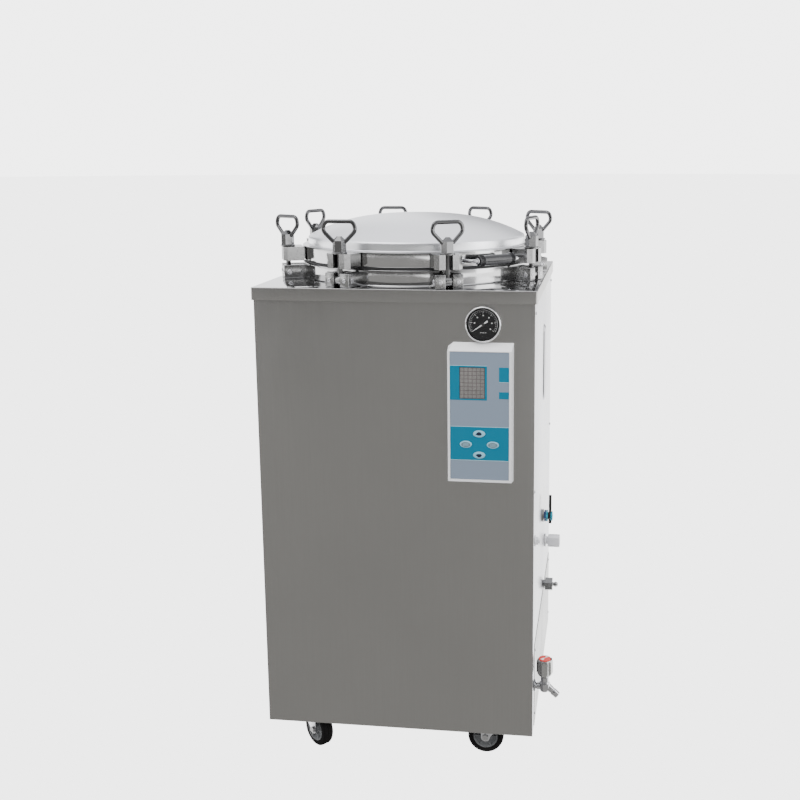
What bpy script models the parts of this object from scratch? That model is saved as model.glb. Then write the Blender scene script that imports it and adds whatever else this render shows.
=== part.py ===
"""Vertical pressure steam steriliser: a square steel cabinet on castors round a top-loading chamber.

Frame: metres, +Z up, -Y is the front with the control panel, +X is the side with the valves and the
drain tap. The floor is z = 0 and the origin is at the bottom centre of the box round the machine.
Every piece hangs from the empty "machine", which stands on the cabinet's own centre line.
"""

import math

import bpy
import bmesh
from mathutils import Matrix, Vector

# ---- Driving dimensions, in metres ----
GAP = 0.0003                # air between two pieces that touch on the real machine
COVER_SIDE = 0.560          # top cover, square
COVER_TOP = 0.984           # height of the cover's top face above the floor
COVER_THICK = 0.002
SKIRT_HEIGHT = 0.025
CABINET_HALF = 0.276        # centre line to the outer face of each panel
PANEL_THICK = 0.0015
PANEL_BOTTOM = 0.070
BASE_PLATE_Z = 0.100
TAP_REACH = 0.329           # centre line to the outermost point of the drain tap
RING_REACH = 0.2864         # centre line to the outermost point of the left ring handles

CHAMBER_RADIUS = 0.200
CHAMBER_DEPTH = 0.600
CHAMBER_WALL = 0.003
RIM_RADIUS = 0.245          # collar of the chamber and rim of the lid
COLLAR_HEIGHT = 0.032
LID_RIM_LOW = 0.037         # heights above the cover's top face
LID_RIM_HIGH = 0.067
DOME_RADIUS = 0.232
DOME_APEX = 0.130
LID_WALL = 0.003

CLAMP_COUNT = 8
CLAMP_FIRST_DEG = -67.5     # from +X, the clamp just right of the front
BOLT_CIRCLE = 0.277
PIVOT_RISE = 0.0135         # clamp pivot above the cover
JAW_LOW = 0.037
JAW_HIGH = 0.0657
JAW_HALF_WIDTH = 0.028
JAW_INNER = 0.0303          # from the bolt's axis towards the lid
JAW_OUTER = 0.0120
SLOT_HALF = 0.007
BOLT_RADIUS = 0.0055
NUT_TOP = 0.092
NUT_TIP = 0.099
RING_TOP = 0.132
RING_WIRE = 0.0033
# Heading of each ring handle's long side from +X, in degrees, as the nuts came to rest
RING_HEADINGS = (33.0, 72.0, -31.0, -28.0, 5.0, 67.0, -32.0, 0.0)

HINGE_RADIUS = 0.325        # lid hinge axis from the centre line, on the back left diagonal
HINGE_RISE = 0.070
HINGE_HEADING = math.radians(135)
HANDLE_HEADING = math.radians(-45)
HANDLE_RADIUS = 0.272
HANDLE_RISE = 0.050

CASTOR_X = 0.200
CASTOR_Y = 0.220
CASTOR_TRAIL = 0.025
WHEEL_RADIUS = 0.0375
WHEEL_HALF_WIDTH = 0.012
# Rolling direction of each castor from +X, in degrees: front right, front left, back left, back right
CASTOR_HEADINGS = (180.0, -40.0, 25.0, 150.0)

GAUGE_X = 0.177
GAUGE_DROP = 0.0642         # below the cover's top face
BEZEL_RADIUS = 0.035
GAUGE_DEPTH = 0.0125        # in front of the panel
NEEDLE_REST_DEG = 215.0     # where the needle points at zero, from +X seen from the front

PANEL_LEFT = 0.1088
PANEL_RIGHT = 0.2325
PANEL_FACE_TOP = 0.115      # drops below the cover's top face
PANEL_FACE_BOTTOM = 0.374
PANEL_PROUD = 0.015
BEZEL_WIDTH = 0.0045
BEZEL_TOP = 0.0015          # the film starts almost at the face's top edge
WINDOW_X = (0.1319, 0.1814)
WINDOW_DROP = (0.1466, 0.2086)
KEY_RADII = (0.0118, 0.0070)
KEYS = {
    "key_up": (0.1700, 0.2775),
    "key_down": (0.1700, 0.3200),
    "key_left": (0.1440, 0.2990),
    "key_right": (0.1965, 0.2990),
}

MACHINE_X = -(TAP_REACH - RING_REACH) / 2


# ---- Materials ----
def make_material(name, colour, metallic, roughness):
    material = bpy.data.materials.new(name)
    material.use_nodes = True
    shader = material.node_tree.nodes["Principled BSDF"]
    shader.inputs["Base Color"].default_value = (*colour, 1.0)
    shader.inputs["Metallic"].default_value = metallic
    shader.inputs["Roughness"].default_value = roughness
    material.diffuse_color = (*colour, 1.0)
    return material


# ---- Shapes, each added to a bmesh ----
def add_box(bm, low, high):
    low, high = Vector(low), Vector(high)
    size = Matrix.Diagonal((*(high - low), 1.0))
    place = Matrix.Translation((low + high) / 2)
    bmesh.ops.create_cube(bm, size=1.0, matrix=place @ size)


def add_prism(bm, outline, low, high):
    """Extrude a counter-clockwise XY outline from z = low to z = high."""
    bottom = [bm.verts.new((x, y, low)) for x, y in outline]
    top = [bm.verts.new((x, y, high)) for x, y in outline]
    bm.faces.new(bottom[::-1])
    bm.faces.new(top)
    for i, vertex in enumerate(bottom):
        j = (i + 1) % len(outline)
        bm.faces.new((vertex, bottom[j], top[j], top[i]))


def add_turned(bm, profile, steps):
    """Turn a profile of (radius, z) round Z.

    The profile is a loop with its solid on the left when it is walked outwards, up and back inwards.
    A profile that starts and ends at radius 0 closes on the axis.
    """
    solid_core = profile[0][0] == 0.0
    turns = [2 * math.pi * i / steps for i in range(steps)]
    rings = []
    for radius, z in profile:
        if radius == 0.0:
            pole = bm.verts.new((0, 0, z))
            rings.append([pole] * steps)
        else:
            rings.append([bm.verts.new((radius * math.cos(a), radius * math.sin(a), z)) for a in turns])
    pairs = list(zip(rings, rings[1:]))
    if not solid_core:
        pairs.append((rings[-1], rings[0]))
    for first, second in pairs:
        for i in range(steps):
            j = (i + 1) % steps
            corners = []
            for vertex in (first[i], first[j], second[j], second[i]):
                if vertex not in corners:
                    corners.append(vertex)
            if len(corners) > 2:
                bm.faces.new(corners)


def add_cylinder(bm, radius, low, high, steps=24):
    add_turned(bm, [(0.0, low), (radius, low), (radius, high), (0.0, high)], steps)


def add_tube(bm, points, radius, sides, closed):
    """A round bar along points that lie in one plane."""
    points = [Vector(p) for p in points]
    count = len(points)
    normal = (points[1] - points[0]).cross(points[count // 2] - points[0]).normalized()
    rings = []
    for i, point in enumerate(points):
        before = points[i - 1] if closed or i else point
        after = points[(i + 1) % count] if closed or i + 1 < count else point
        along = (after - before).normalized()
        across = along.cross(normal)
        turn_in, turn_out = (point - before), (after - point)
        widen = 1.0
        if turn_in.length and turn_out.length:
            widen = 1.0 / max(0.7, math.cos(turn_in.angle(turn_out) / 2))
        ring = []
        for k in range(sides):
            angle = 2 * math.pi * (k + 0.5) / sides
            offset = across * (widen * math.cos(angle)) + normal * math.sin(angle)
            ring.append(bm.verts.new(point + radius * offset))
        rings.append(ring)
    pairs = list(zip(rings, rings[1:]))
    if closed:
        pairs.append((rings[-1], rings[0]))
    else:
        bm.faces.new(rings[0])
        bm.faces.new(rings[-1][::-1])
    for first, second in pairs:
        for k in range(sides):
            j = (k + 1) % sides
            bm.faces.new((first[j], first[k], second[k], second[j]))


def rounded_path(corners, radius, steps, closed):
    """Points along a polygon whose corners are rounded with arcs of about the given radius."""
    corners = [Vector(c) for c in corners]
    count = len(corners)
    points = []
    for i, corner in enumerate(corners):
        if not closed and i in (0, count - 1):
            points.append(corner)
            continue
        to_before = corners[i - 1] - corner
        to_after = corners[(i + 1) % count] - corner
        reach = min(radius, 0.45 * to_before.length, 0.45 * to_after.length)
        start = corner + to_before.normalized() * reach
        end = corner + to_after.normalized() * reach
        for step in range(steps + 1):
            t = step / steps
            points.append(start * (1 - t) ** 2 + corner * (2 * t * (1 - t)) + end * t ** 2)
    return points


def place(bm, matrix):
    bmesh.ops.transform(bm, matrix=matrix, verts=bm.verts)


# ---- Objects ----
def mesh_of(build):
    """A mesh from a function that fills a bmesh, with its faces turned outwards."""
    bm = bmesh.new()
    build(bm)
    bmesh.ops.recalc_face_normals(bm, faces=bm.faces)
    mesh = bpy.data.meshes.new("shape")
    bm.to_mesh(mesh)
    bm.free()
    return mesh


def combined(base, unions=(), cuts=()):
    """One mesh from a base shape, the shapes united with it and the shapes then cut from it."""
    body = bpy.data.objects.new("combining", mesh_of(base))
    bpy.context.scene.collection.objects.link(body)
    tools = []
    for operation, builds in (("UNION", unions), ("DIFFERENCE", cuts)):
        for build in builds:
            tool = bpy.data.objects.new("tool", mesh_of(build))
            bpy.context.scene.collection.objects.link(tool)
            tools.append(tool)
            boolean = body.modifiers.new("combine", "BOOLEAN")
            boolean.operation = operation
            boolean.object = tool
    graph = bpy.context.evaluated_depsgraph_get()
    mesh = bpy.data.meshes.new_from_object(body.evaluated_get(graph))
    for helper in (body, *tools):
        bpy.data.objects.remove(helper)
    return mesh


def add_piece(name, mesh, material, parent, bevel=0.0, smooth_deg=35.0):
    """A named object with the mesh at its parent, in one material."""
    piece = bpy.data.objects.new(name, mesh)
    mesh.materials.clear()
    mesh.materials.append(material)
    mesh.shade_smooth()
    mesh.set_sharp_from_angle(angle=math.radians(smooth_deg))
    bpy.context.scene.collection.objects.link(piece)
    piece.parent = parent
    if bevel:
        edge = piece.modifiers.new("Edges", "BEVEL")
        edge.width = bevel
        edge.segments = 1
        edge.limit_method = "ANGLE"
        edge.angle_limit = math.radians(60)
    return piece


def add_empty(name, location, parent=None, turn=0.0, tilt=0.0):
    """An empty whose Z is turned round the vertical by turn, after a tilt about its own X."""
    empty = bpy.data.objects.new(name, None)
    empty.empty_display_size = 0.03
    empty.location = location
    empty.rotation_euler = (tilt, 0.0, turn)
    empty.parent = parent
    bpy.context.scene.collection.objects.link(empty)
    return empty


def polar(radius, heading, z=0.0):
    return Vector((radius * math.cos(heading), radius * math.sin(heading), z))


def clamp_heading(index):
    return math.radians(CLAMP_FIRST_DEG + index * 360 / CLAMP_COUNT)


# ---- Cabinet ----
def add_frame(machine, steel):
    """Angle posts between a base plate and a top ring, with four castor plates under it."""
    half = CABINET_HALF - PANEL_THICK - 0.0005
    post, flange = 0.030, 0.003
    top = COVER_TOP - COVER_THICK - SKIRT_HEIGHT

    def base_plate(bm):
        add_box(bm, (-half, -half, BASE_PLATE_Z), (half, half, BASE_PLATE_Z + 0.003))

    def angle_post(sx, sy):
        def build(bm):
            out = half - 0.0004
            outline = [
                (out, out), (out - post, out), (out - post, out - flange),
                (out - flange, out - flange), (out - flange, out - post), (out, out - post),
            ]
            outline = [(sx * x, sy * y) for x, y in outline]
            low, high = BASE_PLATE_Z + 0.001, top - 0.001
            add_prism(bm, outline if sx * sy > 0 else outline[::-1], low, high)
        return build

    def rail_block(bm):
        add_box(bm, (-half, -half, top - 0.008), (half, half, top))

    def rail_inside(bm):
        inner = half - 0.0025
        add_box(bm, (-inner, -inner, top - 0.030), (inner, inner, top + 0.010))

    rail = combined(rail_block, cuts=[rail_inside])

    def top_rail(bm):
        bm.from_mesh(rail)

    def castor_plate(sx, sy):
        def build(bm):
            x, y = sx * CASTOR_X, sy * CASTOR_Y
            add_box(bm, (x - 0.03, y - 0.03, BASE_PLATE_Z - 0.003), (x + 0.03, y + 0.03, BASE_PLATE_Z + 0.001))
        return build

    corners = [(1, 1), (-1, 1), (-1, -1), (1, -1)]
    unions = [top_rail] + [angle_post(*c) for c in corners] + [castor_plate(*c) for c in corners]
    add_piece("base_frame", combined(base_plate, unions), steel, machine)


def add_panels(machine, steel):
    """Flat sheets: the front and back run the full width, and the sides stand between them."""
    outer, inner = CABINET_HALF, CABINET_HALF - PANEL_THICK
    top = COVER_TOP - COVER_THICK - GAP
    gauge_z = COVER_TOP - GAUGE_DROP

    def front(bm):
        add_box(bm, (-outer, -outer, PANEL_BOTTOM), (outer, -inner, top))

    def gauge_hole(bm):
        add_cylinder(bm, BEZEL_RADIUS - 0.0065, -0.01, 0.01, 32)
        place(bm, Matrix.Translation((GAUGE_X, -outer, gauge_z)) @ Matrix.Rotation(math.pi / 2, 4, "X"))

    def back(bm):
        add_box(bm, (-outer, inner, PANEL_BOTTOM), (outer, outer, top))

    def left(bm):
        add_box(bm, (-outer, GAP - inner, PANEL_BOTTOM), (-inner, inner - GAP, top))

    def right(bm):
        add_box(bm, (inner, GAP - inner, PANEL_BOTTOM), (outer, inner - GAP, top))

    def louvre(bm):
        """A pressed vent: a tall rib with round ends that stands out of the right side."""
        length, width, proud = 0.170, 0.026, 0.005
        steps = 10
        outline = []
        for end in (1, -1):
            for i in range(steps + 1):
                angle = end * math.pi / 2 - math.pi / 2 + math.pi * i / steps
                centre = end * (length / 2 - width / 2)
                outline.append((math.cos(angle) * width / 2, centre + math.sin(angle) * width / 2))
        add_prism(bm, outline, -0.001, proud)
        turn = Matrix.Rotation(math.pi / 2, 4, "Z") @ Matrix.Rotation(math.pi / 2, 4, "X")
        place(bm, Matrix.Translation((outer, 0.0, COVER_TOP - 0.1925)) @ turn)

    add_piece("front_panel", combined(front, cuts=[gauge_hole]), steel, machine)
    add_piece("back_panel", mesh_of(back), steel, machine)
    add_piece("left_side_panel", mesh_of(left), steel, machine)
    add_piece("right_side_panel", combined(right, [louvre]), steel, machine)


def add_cover(machine, steel):
    half = COVER_SIDE / 2

    def slab(bm):
        add_box(bm, (-half, -half, COVER_TOP - SKIRT_HEIGHT), (half, half, COVER_TOP))
        upright = [e for e in bm.edges if abs(e.verts[0].co.z - e.verts[1].co.z) > 0.01]
        bmesh.ops.bevel(bm, geom=upright, offset=0.004, segments=3, affect="EDGES", profile=0.5)

    def underside(bm):
        inner = half - COVER_THICK
        add_box(bm, (-inner, -inner, COVER_TOP - SKIRT_HEIGHT - 0.01), (inner, inner, COVER_TOP - COVER_THICK))

    def mouth(bm):
        add_cylinder(bm, CHAMBER_RADIUS + CHAMBER_WALL + GAP, COVER_TOP - 0.05, COVER_TOP + 0.05, 48)

    add_piece("top_cover", combined(slab, cuts=[underside, mouth]), steel, machine)


# ---- Chamber ----
def add_chamber(machine, steel, rubber, element_metal, mesh_steel):
    floor = COVER_TOP - CHAMBER_DEPTH
    outer = CHAMBER_RADIUS + CHAMBER_WALL

    def vessel(bm):
        low = COVER_TOP + GAP
        profile = [
            (0.0, floor - CHAMBER_WALL), (outer - 0.02, floor - CHAMBER_WALL), (outer, floor + 0.017),
            (outer, low), (RIM_RADIUS, low), (RIM_RADIUS, COVER_TOP + COLLAR_HEIGHT),
            (CHAMBER_RADIUS, COVER_TOP + COLLAR_HEIGHT), (CHAMBER_RADIUS, floor + 0.018),
            (CHAMBER_RADIUS - 0.018, floor), (0.0, floor),
        ]
        add_turned(bm, profile, 48)

    def clevis(index):
        def build(bm):
            low, high = COVER_TOP + 2 * GAP, COVER_TOP + 0.028
            for side in (-1, 1):
                near, far = sorted((side * SLOT_HALF, side * JAW_HALF_WIDTH))
                add_box(bm, (-0.040, near, low), (0.0120, far, high))
            place(bm, Matrix.Rotation(clamp_heading(index), 4, "Z") @ Matrix.Translation((BOLT_CIRCLE, 0, 0)))
        return build

    def pivot(index):
        def build(bm):
            add_cylinder(bm, 0.005, -0.012, 0.012, 12)
            lie = Matrix.Rotation(math.pi / 2, 4, "X")
            lift = Matrix.Translation((BOLT_CIRCLE, 0, COVER_TOP + PIVOT_RISE))
            place(bm, Matrix.Rotation(clamp_heading(index), 4, "Z") @ lift @ lie)
        return build

    indices = range(CLAMP_COUNT)
    mesh = combined(vessel, [clevis(i) for i in indices] + [pivot(i) for i in indices])
    add_piece("chamber_vessel", mesh, steel, machine)

    def gasket(bm):
        low, high = COVER_TOP + COLLAR_HEIGHT + GAP, COVER_TOP + LID_RIM_LOW - GAP
        add_turned(bm, [(0.204, low), (0.2435, low), (0.2435, high), (0.204, high)], 48)

    add_piece("lid_gasket", mesh_of(gasket), rubber, machine)

    def element(bm):
        """An open loop whose two ends come out of the vessel's floor."""
        radius, gap_turn, steps = 0.120, math.radians(12), 24
        turns = [gap_turn + (2 * math.pi - 2 * gap_turn) * i / steps for i in range(steps + 1)]
        add_tube(bm, [polar(radius, a, floor + 0.022) for a in turns], 0.0055, 6, closed=False)

    add_piece("heating_element", mesh_of(element), element_metal, machine)

    def plate(bm):
        low, steps = floor + 0.045, 40
        outline = [polar(CHAMBER_RADIUS - 0.004, 2 * math.pi * i / steps) for i in range(steps)]
        add_prism(bm, [(p.x, p.y) for p in outline], low, low + 0.003)

    def plate_hole(index):
        def build(bm):
            add_cylinder(bm, 0.012, floor, floor + 0.1, 12)
            place(bm, Matrix.Translation(polar(0.120, 0.1 + index * math.pi / 3)))
        return build

    mesh = combined(plate, cuts=[plate_hole(i) for i in range(6)])
    add_piece("support_plate", mesh, mesh_steel, machine)

    lift = add_empty("basket_slide", (0, 0, floor + 0.0483 + GAP), machine)

    def basket(bm):
        radius, wall, height = 0.186, 0.0025, 0.400
        profile = [
            (0.0, 0.0), (radius - 0.004, 0.0), (radius, 0.004), (radius, height - 0.006),
            (radius + 0.004, height - 0.006), (radius + 0.004, height), (radius - wall, height),
            (radius - wall, 0.005), (radius - 0.005, wall), (0.0, wall),
        ]
        add_turned(bm, profile, 36)

    add_piece("sterilising_basket", mesh_of(basket), mesh_steel, lift)


# ---- Lid ----
def dome_arc(radius, low, apex, steps):
    """Points (radius, z) of a spherical cap, from its edge up to its apex."""
    rise = apex - low
    sphere = (radius ** 2 + rise ** 2) / (2 * rise)
    points = []
    for i in range(steps + 1):
        r = radius * math.cos(math.pi / 2 * i / steps)
        r = 0.0 if i == steps else r
        points.append((r, apex - sphere + math.sqrt(sphere ** 2 - r ** 2)))
    return points


def add_lid(machine, dome_steel, bright_steel, grip_plastic):
    hinge = add_empty("lid_hinge_axis", polar(HINGE_RADIUS, HINGE_HEADING, COVER_TOP + HINGE_RISE), machine)

    def from_machine(matrix=Matrix.Identity(4)):
        return Matrix.Translation(-hinge.location) @ matrix

    def shell(bm):
        low, high = COVER_TOP + LID_RIM_LOW, COVER_TOP + LID_RIM_HIGH
        outer = dome_arc(DOME_RADIUS, high, COVER_TOP + DOME_APEX, 6)
        inner = dome_arc(0.206, high - 0.002, COVER_TOP + DOME_APEX - LID_WALL, 4)
        profile = inner[::-1] + [(0.206, low), (RIM_RADIUS, low), (RIM_RADIUS, high)] + outer
        add_turned(bm, profile, 48)
        place(bm, from_machine())

    add_piece("lid_shell", mesh_of(shell), dome_steel, hinge)

    at_hinge = Matrix.Rotation(HINGE_HEADING, 4, "Z")
    along_hinge = at_hinge @ Matrix.Rotation(math.pi / 2, 4, "X")
    barrel_radius, pin_radius, half_width = 0.013, 0.006, 0.031

    def barrel(bm):
        bore = pin_radius + GAP
        add_turned(bm, [
            (bore, -half_width), (barrel_radius, -half_width), (barrel_radius, half_width), (bore, half_width),
        ], 20)
        place(bm, along_hinge)

    def arm(bm):
        """Runs from the barrel down to the lid's rim. X points away from the lid."""
        inner_end = RIM_RADIUS + GAP - HINGE_RADIUS
        side = [(inner_end, -0.026), (-0.0075, -0.008), (-0.0075, 0.008), (inner_end, -0.006)]
        add_prism(bm, side, -half_width + 0.004, half_width - 0.004)
        place(bm, along_hinge)

    add_piece("lid_hinge_arm", combined(barrel, [arm]), bright_steel, hinge)

    bracket_origin = Matrix.Translation(polar(HINGE_RADIUS, HINGE_HEADING)) @ at_hinge

    def foot(bm):
        add_box(bm, (-0.028, -0.044, COVER_TOP + GAP), (0.020, 0.044, COVER_TOP + 0.006))
        place(bm, bracket_origin)

    def ear(side):
        def build(bm):
            near, far = sorted((side * (half_width + 2 * GAP), side * 0.042))
            low, axis = COVER_TOP + 0.005, COVER_TOP + HINGE_RISE
            arc = [polar(0.014, math.pi * i / 8) for i in range(9)]
            outline = [(0.018, low - axis)] + [(p.x, p.y) for p in arc] + [(-0.024, low - axis)]
            add_prism(bm, outline, -far, -near)
            lift = Matrix.Translation(polar(HINGE_RADIUS, HINGE_HEADING, axis))
            place(bm, lift @ along_hinge)
        return build

    def pin_hole(bm):
        add_cylinder(bm, pin_radius + GAP, -0.1, 0.1, 20)
        place(bm, Matrix.Translation(polar(HINGE_RADIUS, HINGE_HEADING, COVER_TOP + HINGE_RISE)) @ along_hinge)

    add_piece("lid_hinge_bracket", combined(foot, [ear(1), ear(-1)], [pin_hole]), bright_steel, machine)

    def pin(bm):
        reach = 0.047
        add_cylinder(bm, pin_radius, -reach, reach, 20)
        place(bm, Matrix.Translation(polar(HINGE_RADIUS, HINGE_HEADING, COVER_TOP + HINGE_RISE)) @ along_hinge)

    add_piece("lid_hinge_pin", mesh_of(pin), bright_steel, machine)

    wire = 0.004
    at_handle = Matrix.Rotation(HANDLE_HEADING, 4, "Z")
    rise = COVER_TOP + HANDLE_RISE

    def bail(bm):
        """A bar bent out from the rim, along the grip and back."""
        foot_y = 0.060
        foot_x = math.sqrt(RIM_RADIUS ** 2 - (foot_y - wire) ** 2) + GAP
        corners = [
            (foot_x, -foot_y, rise), (HANDLE_RADIUS, -foot_y, rise),
            (HANDLE_RADIUS, foot_y, rise), (foot_x, foot_y, rise),
        ]
        add_tube(bm, rounded_path(corners, 0.012, 4, closed=False), wire, 8, closed=False)
        place(bm, from_machine(at_handle))

    add_piece("lid_handle_bail", mesh_of(bail), bright_steel, hinge)

    def grip(bm):
        bore, reach = wire / math.cos(math.pi / 8) + GAP, 0.045
        add_turned(bm, [
            (bore, -reach), (0.0095, -reach), (0.0105, -reach + 0.004), (0.0105, reach - 0.004),
            (0.0095, reach), (bore, reach),
        ], 20)
        lift = Matrix.Translation((HANDLE_RADIUS, 0, rise)) @ Matrix.Rotation(math.pi / 2, 4, "X")
        place(bm, from_machine(at_handle @ lift))

    add_piece("lid_handle_grip", mesh_of(grip), grip_plastic, hinge)


# ---- Clamps ----
def bolt_mesh():
    """A swing bolt with its slotted jaw, about its pivot: X points outwards and Z runs up the bolt."""
    eye_radius, eye_half = 0.0098, SLOT_HALF - 0.0006

    def eye(bm):
        bore = 0.005 + GAP
        add_turned(bm, [(bore, -eye_half), (eye_radius, -eye_half), (eye_radius, eye_half), (bore, eye_half)], 16)
        place(bm, Matrix.Rotation(math.pi / 2, 4, "X"))

    def shank(bm):
        add_cylinder(bm, BOLT_RADIUS, 0.0068, NUT_TOP - PIVOT_RISE, 12)

    def jaw(bm):
        low, high = JAW_LOW - PIVOT_RISE, JAW_HIGH - PIVOT_RISE
        add_box(bm, (-JAW_INNER, -JAW_HALF_WIDTH, low), (JAW_OUTER, JAW_HALF_WIDTH, high))

    def rim_relief(bm):
        """The jaw's inner face follows the lid's rim."""
        add_cylinder(bm, RIM_RADIUS + 0.0017, -0.01, 0.10, 96)
        place(bm, Matrix.Translation((-BOLT_CIRCLE, 0, 0)))

    def slot(bm):
        low, high = JAW_LOW - PIVOT_RISE - 0.01, JAW_HIGH - PIVOT_RISE + 0.01
        add_box(bm, (0.002, -SLOT_HALF, low), (JAW_OUTER + 0.01, SLOT_HALF, high))

    jaw_mesh = combined(jaw, cuts=[rim_relief, slot])

    def jaw_shape(bm):
        bm.from_mesh(jaw_mesh)

    return combined(eye, [shank, jaw_shape])


def ring_nut_mesh():
    """A hexagon cap nut with a ring handle, about the clamp's pivot. The ring's long side lies along X."""
    hexagon = 0.0135
    low, high, tip = (z - PIVOT_RISE for z in (JAW_HIGH + GAP, NUT_TOP, NUT_TIP))

    def nut(bm):
        add_turned(bm, [(0.0, low), (hexagon, low), (hexagon, high), (0.004, tip), (0.0, tip)], 6)

    def bore(bm):
        add_cylinder(bm, BOLT_RADIUS + GAP, low - 0.01, high + GAP, 12)

    def ring(bm):
        top = RING_TOP - PIVOT_RISE - RING_WIRE
        corners = [
            (-0.0085, 0, 0.085 - PIVOT_RISE), (0.0085, 0, 0.085 - PIVOT_RISE), (0.0345, 0, 0.110 - PIVOT_RISE),
            (0.0270, 0, top), (-0.0270, 0, top), (-0.0345, 0, 0.110 - PIVOT_RISE),
        ]
        add_tube(bm, rounded_path(corners, 0.012, 2, closed=True), RING_WIRE, 6, closed=True)

    return combined(nut, [ring], [bore])


def add_clamps(machine, steel):
    bolts, nuts = bolt_mesh(), ring_nut_mesh()
    for index, ring_heading in enumerate(RING_HEADINGS):
        heading = clamp_heading(index)
        number = index + 1
        place_at = polar(BOLT_CIRCLE, heading, COVER_TOP + PIVOT_RISE)
        pivot = add_empty(f"clamp_{number}_pivot", place_at, machine, heading)
        add_piece(f"swing_bolt_{number}", bolts, steel, pivot)
        nut = add_piece(f"ring_nut_{number}", nuts, steel, pivot)
        nut.rotation_euler = (0, 0, math.radians(ring_heading) - heading)


# ---- Castors ----
def add_castors(machine, bright_steel, tyre_rubber):
    top = BASE_PLATE_Z - 0.003 - GAP
    drop = WHEEL_RADIUS - top        # from the top of the swivel down to the axle
    leg_inner, leg_outer = 0.0135, 0.0165

    def swivel_head(bm):
        add_turned(bm, [(0.0, -0.010), (0.020, -0.010), (0.022, -0.005), (0.022, 0.0), (0.0, 0.0)], 12)

    def crown(bm):
        add_box(bm, (-0.0195, 0.0005 - leg_outer, -0.012), (0.0335, leg_outer - 0.0005, -0.0085))

    def leg(side):
        def build(bm):
            near, far = sorted((side * leg_inner, side * leg_outer))
            arc = [polar(0.009, math.pi + math.pi * i / 6) for i in range(7)]
            outline = [(CASTOR_TRAIL + p.x, drop + p.y) for p in arc] + [(0.034, -0.010), (-0.020, -0.010)]
            add_prism(bm, outline, -far, -near)
            place(bm, Matrix.Rotation(math.pi / 2, 4, "X"))
        return build

    def axle(bm):
        add_cylinder(bm, 0.004, -0.0155, 0.0155, 12)
        place(bm, Matrix.Translation((CASTOR_TRAIL, 0, drop)) @ Matrix.Rotation(math.pi / 2, 4, "X"))

    def wheel(bm):
        rim, half = WHEEL_RADIUS, WHEEL_HALF_WIDTH
        add_turned(bm, [
            (0.004 + GAP, -half), (0.009, -half), (0.011, 0.003 - half), (0.021, 0.003 - half), (0.023, -half),
            (rim - 0.005, -half), (rim, -half * 0.5), (rim, half * 0.5), (rim - 0.005, half), (0.023, half),
            (0.021, half - 0.003), (0.011, half - 0.003), (0.009, half), (0.004 + GAP, half),
        ], 24)

    fork_mesh = combined(crown, [swivel_head, leg(1), leg(-1), axle])
    wheel_mesh = mesh_of(wheel)
    corners = [(1, -1), (-1, -1), (-1, 1), (1, 1)]
    for number, ((sx, sy), heading) in enumerate(zip(corners, CASTOR_HEADINGS), start=1):
        place_at = (sx * CASTOR_X, sy * CASTOR_Y, top)
        swivel = add_empty(f"castor_{number}_swivel", place_at, machine, math.radians(heading))
        add_piece(f"castor_fork_{number}", fork_mesh, bright_steel, swivel)
        axle_empty = add_empty(f"castor_{number}_axle", (CASTOR_TRAIL, 0, drop), swivel, tilt=math.pi / 2)
        add_piece(f"castor_wheel_{number}", wheel_mesh, tyre_rubber, axle_empty)


# ---- Pressure gauge, with its Z pointing out of the front ----
def add_gauge(machine, bright_steel, dial_black, glass, white):
    face = CABINET_HALF
    place_at = (GAUGE_X, -face, COVER_TOP - GAUGE_DROP)
    axis = add_empty("gauge_axis", place_at, machine, tilt=math.pi / 2)
    bore = BEZEL_RADIUS - 0.0035

    def case(bm):
        stem = BEZEL_RADIUS - 0.007
        profile = [
            (0.0, -0.030), (stem, -0.030), (stem, GAP), (BEZEL_RADIUS, GAP), (BEZEL_RADIUS, GAUGE_DEPTH - 0.002),
            (BEZEL_RADIUS - 0.0015, GAUGE_DEPTH), (bore, GAUGE_DEPTH), (bore, 0.003), (0.0, 0.003),
        ]
        add_turned(bm, profile, 28)

    def dial(bm):
        add_cylinder(bm, bore - 2 * GAP, 0.003 + GAP, 0.0043, 28)

    def window(bm):
        add_cylinder(bm, bore - 2 * GAP, 0.0095, 0.0110, 28)

    def boss(bm):
        add_cylinder(bm, 0.0028, 0.0050, 0.0085, 12)

    def pointer(bm):
        outline = [(-0.010, -0.0012), (0.024, -0.0004), (0.024, 0.0004), (-0.010, 0.0012)]
        add_prism(bm, outline, 0.0062, 0.0070)

    add_piece("gauge_case", mesh_of(case), bright_steel, axis)
    add_piece("gauge_dial", mesh_of(dial), dial_black, axis)
    add_piece("gauge_glass", mesh_of(window), glass, axis)
    needle = add_piece("gauge_needle", combined(boss, [pointer]), white, axis)
    needle.rotation_euler = (0, 0, math.radians(NEEDLE_REST_DEG))


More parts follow.
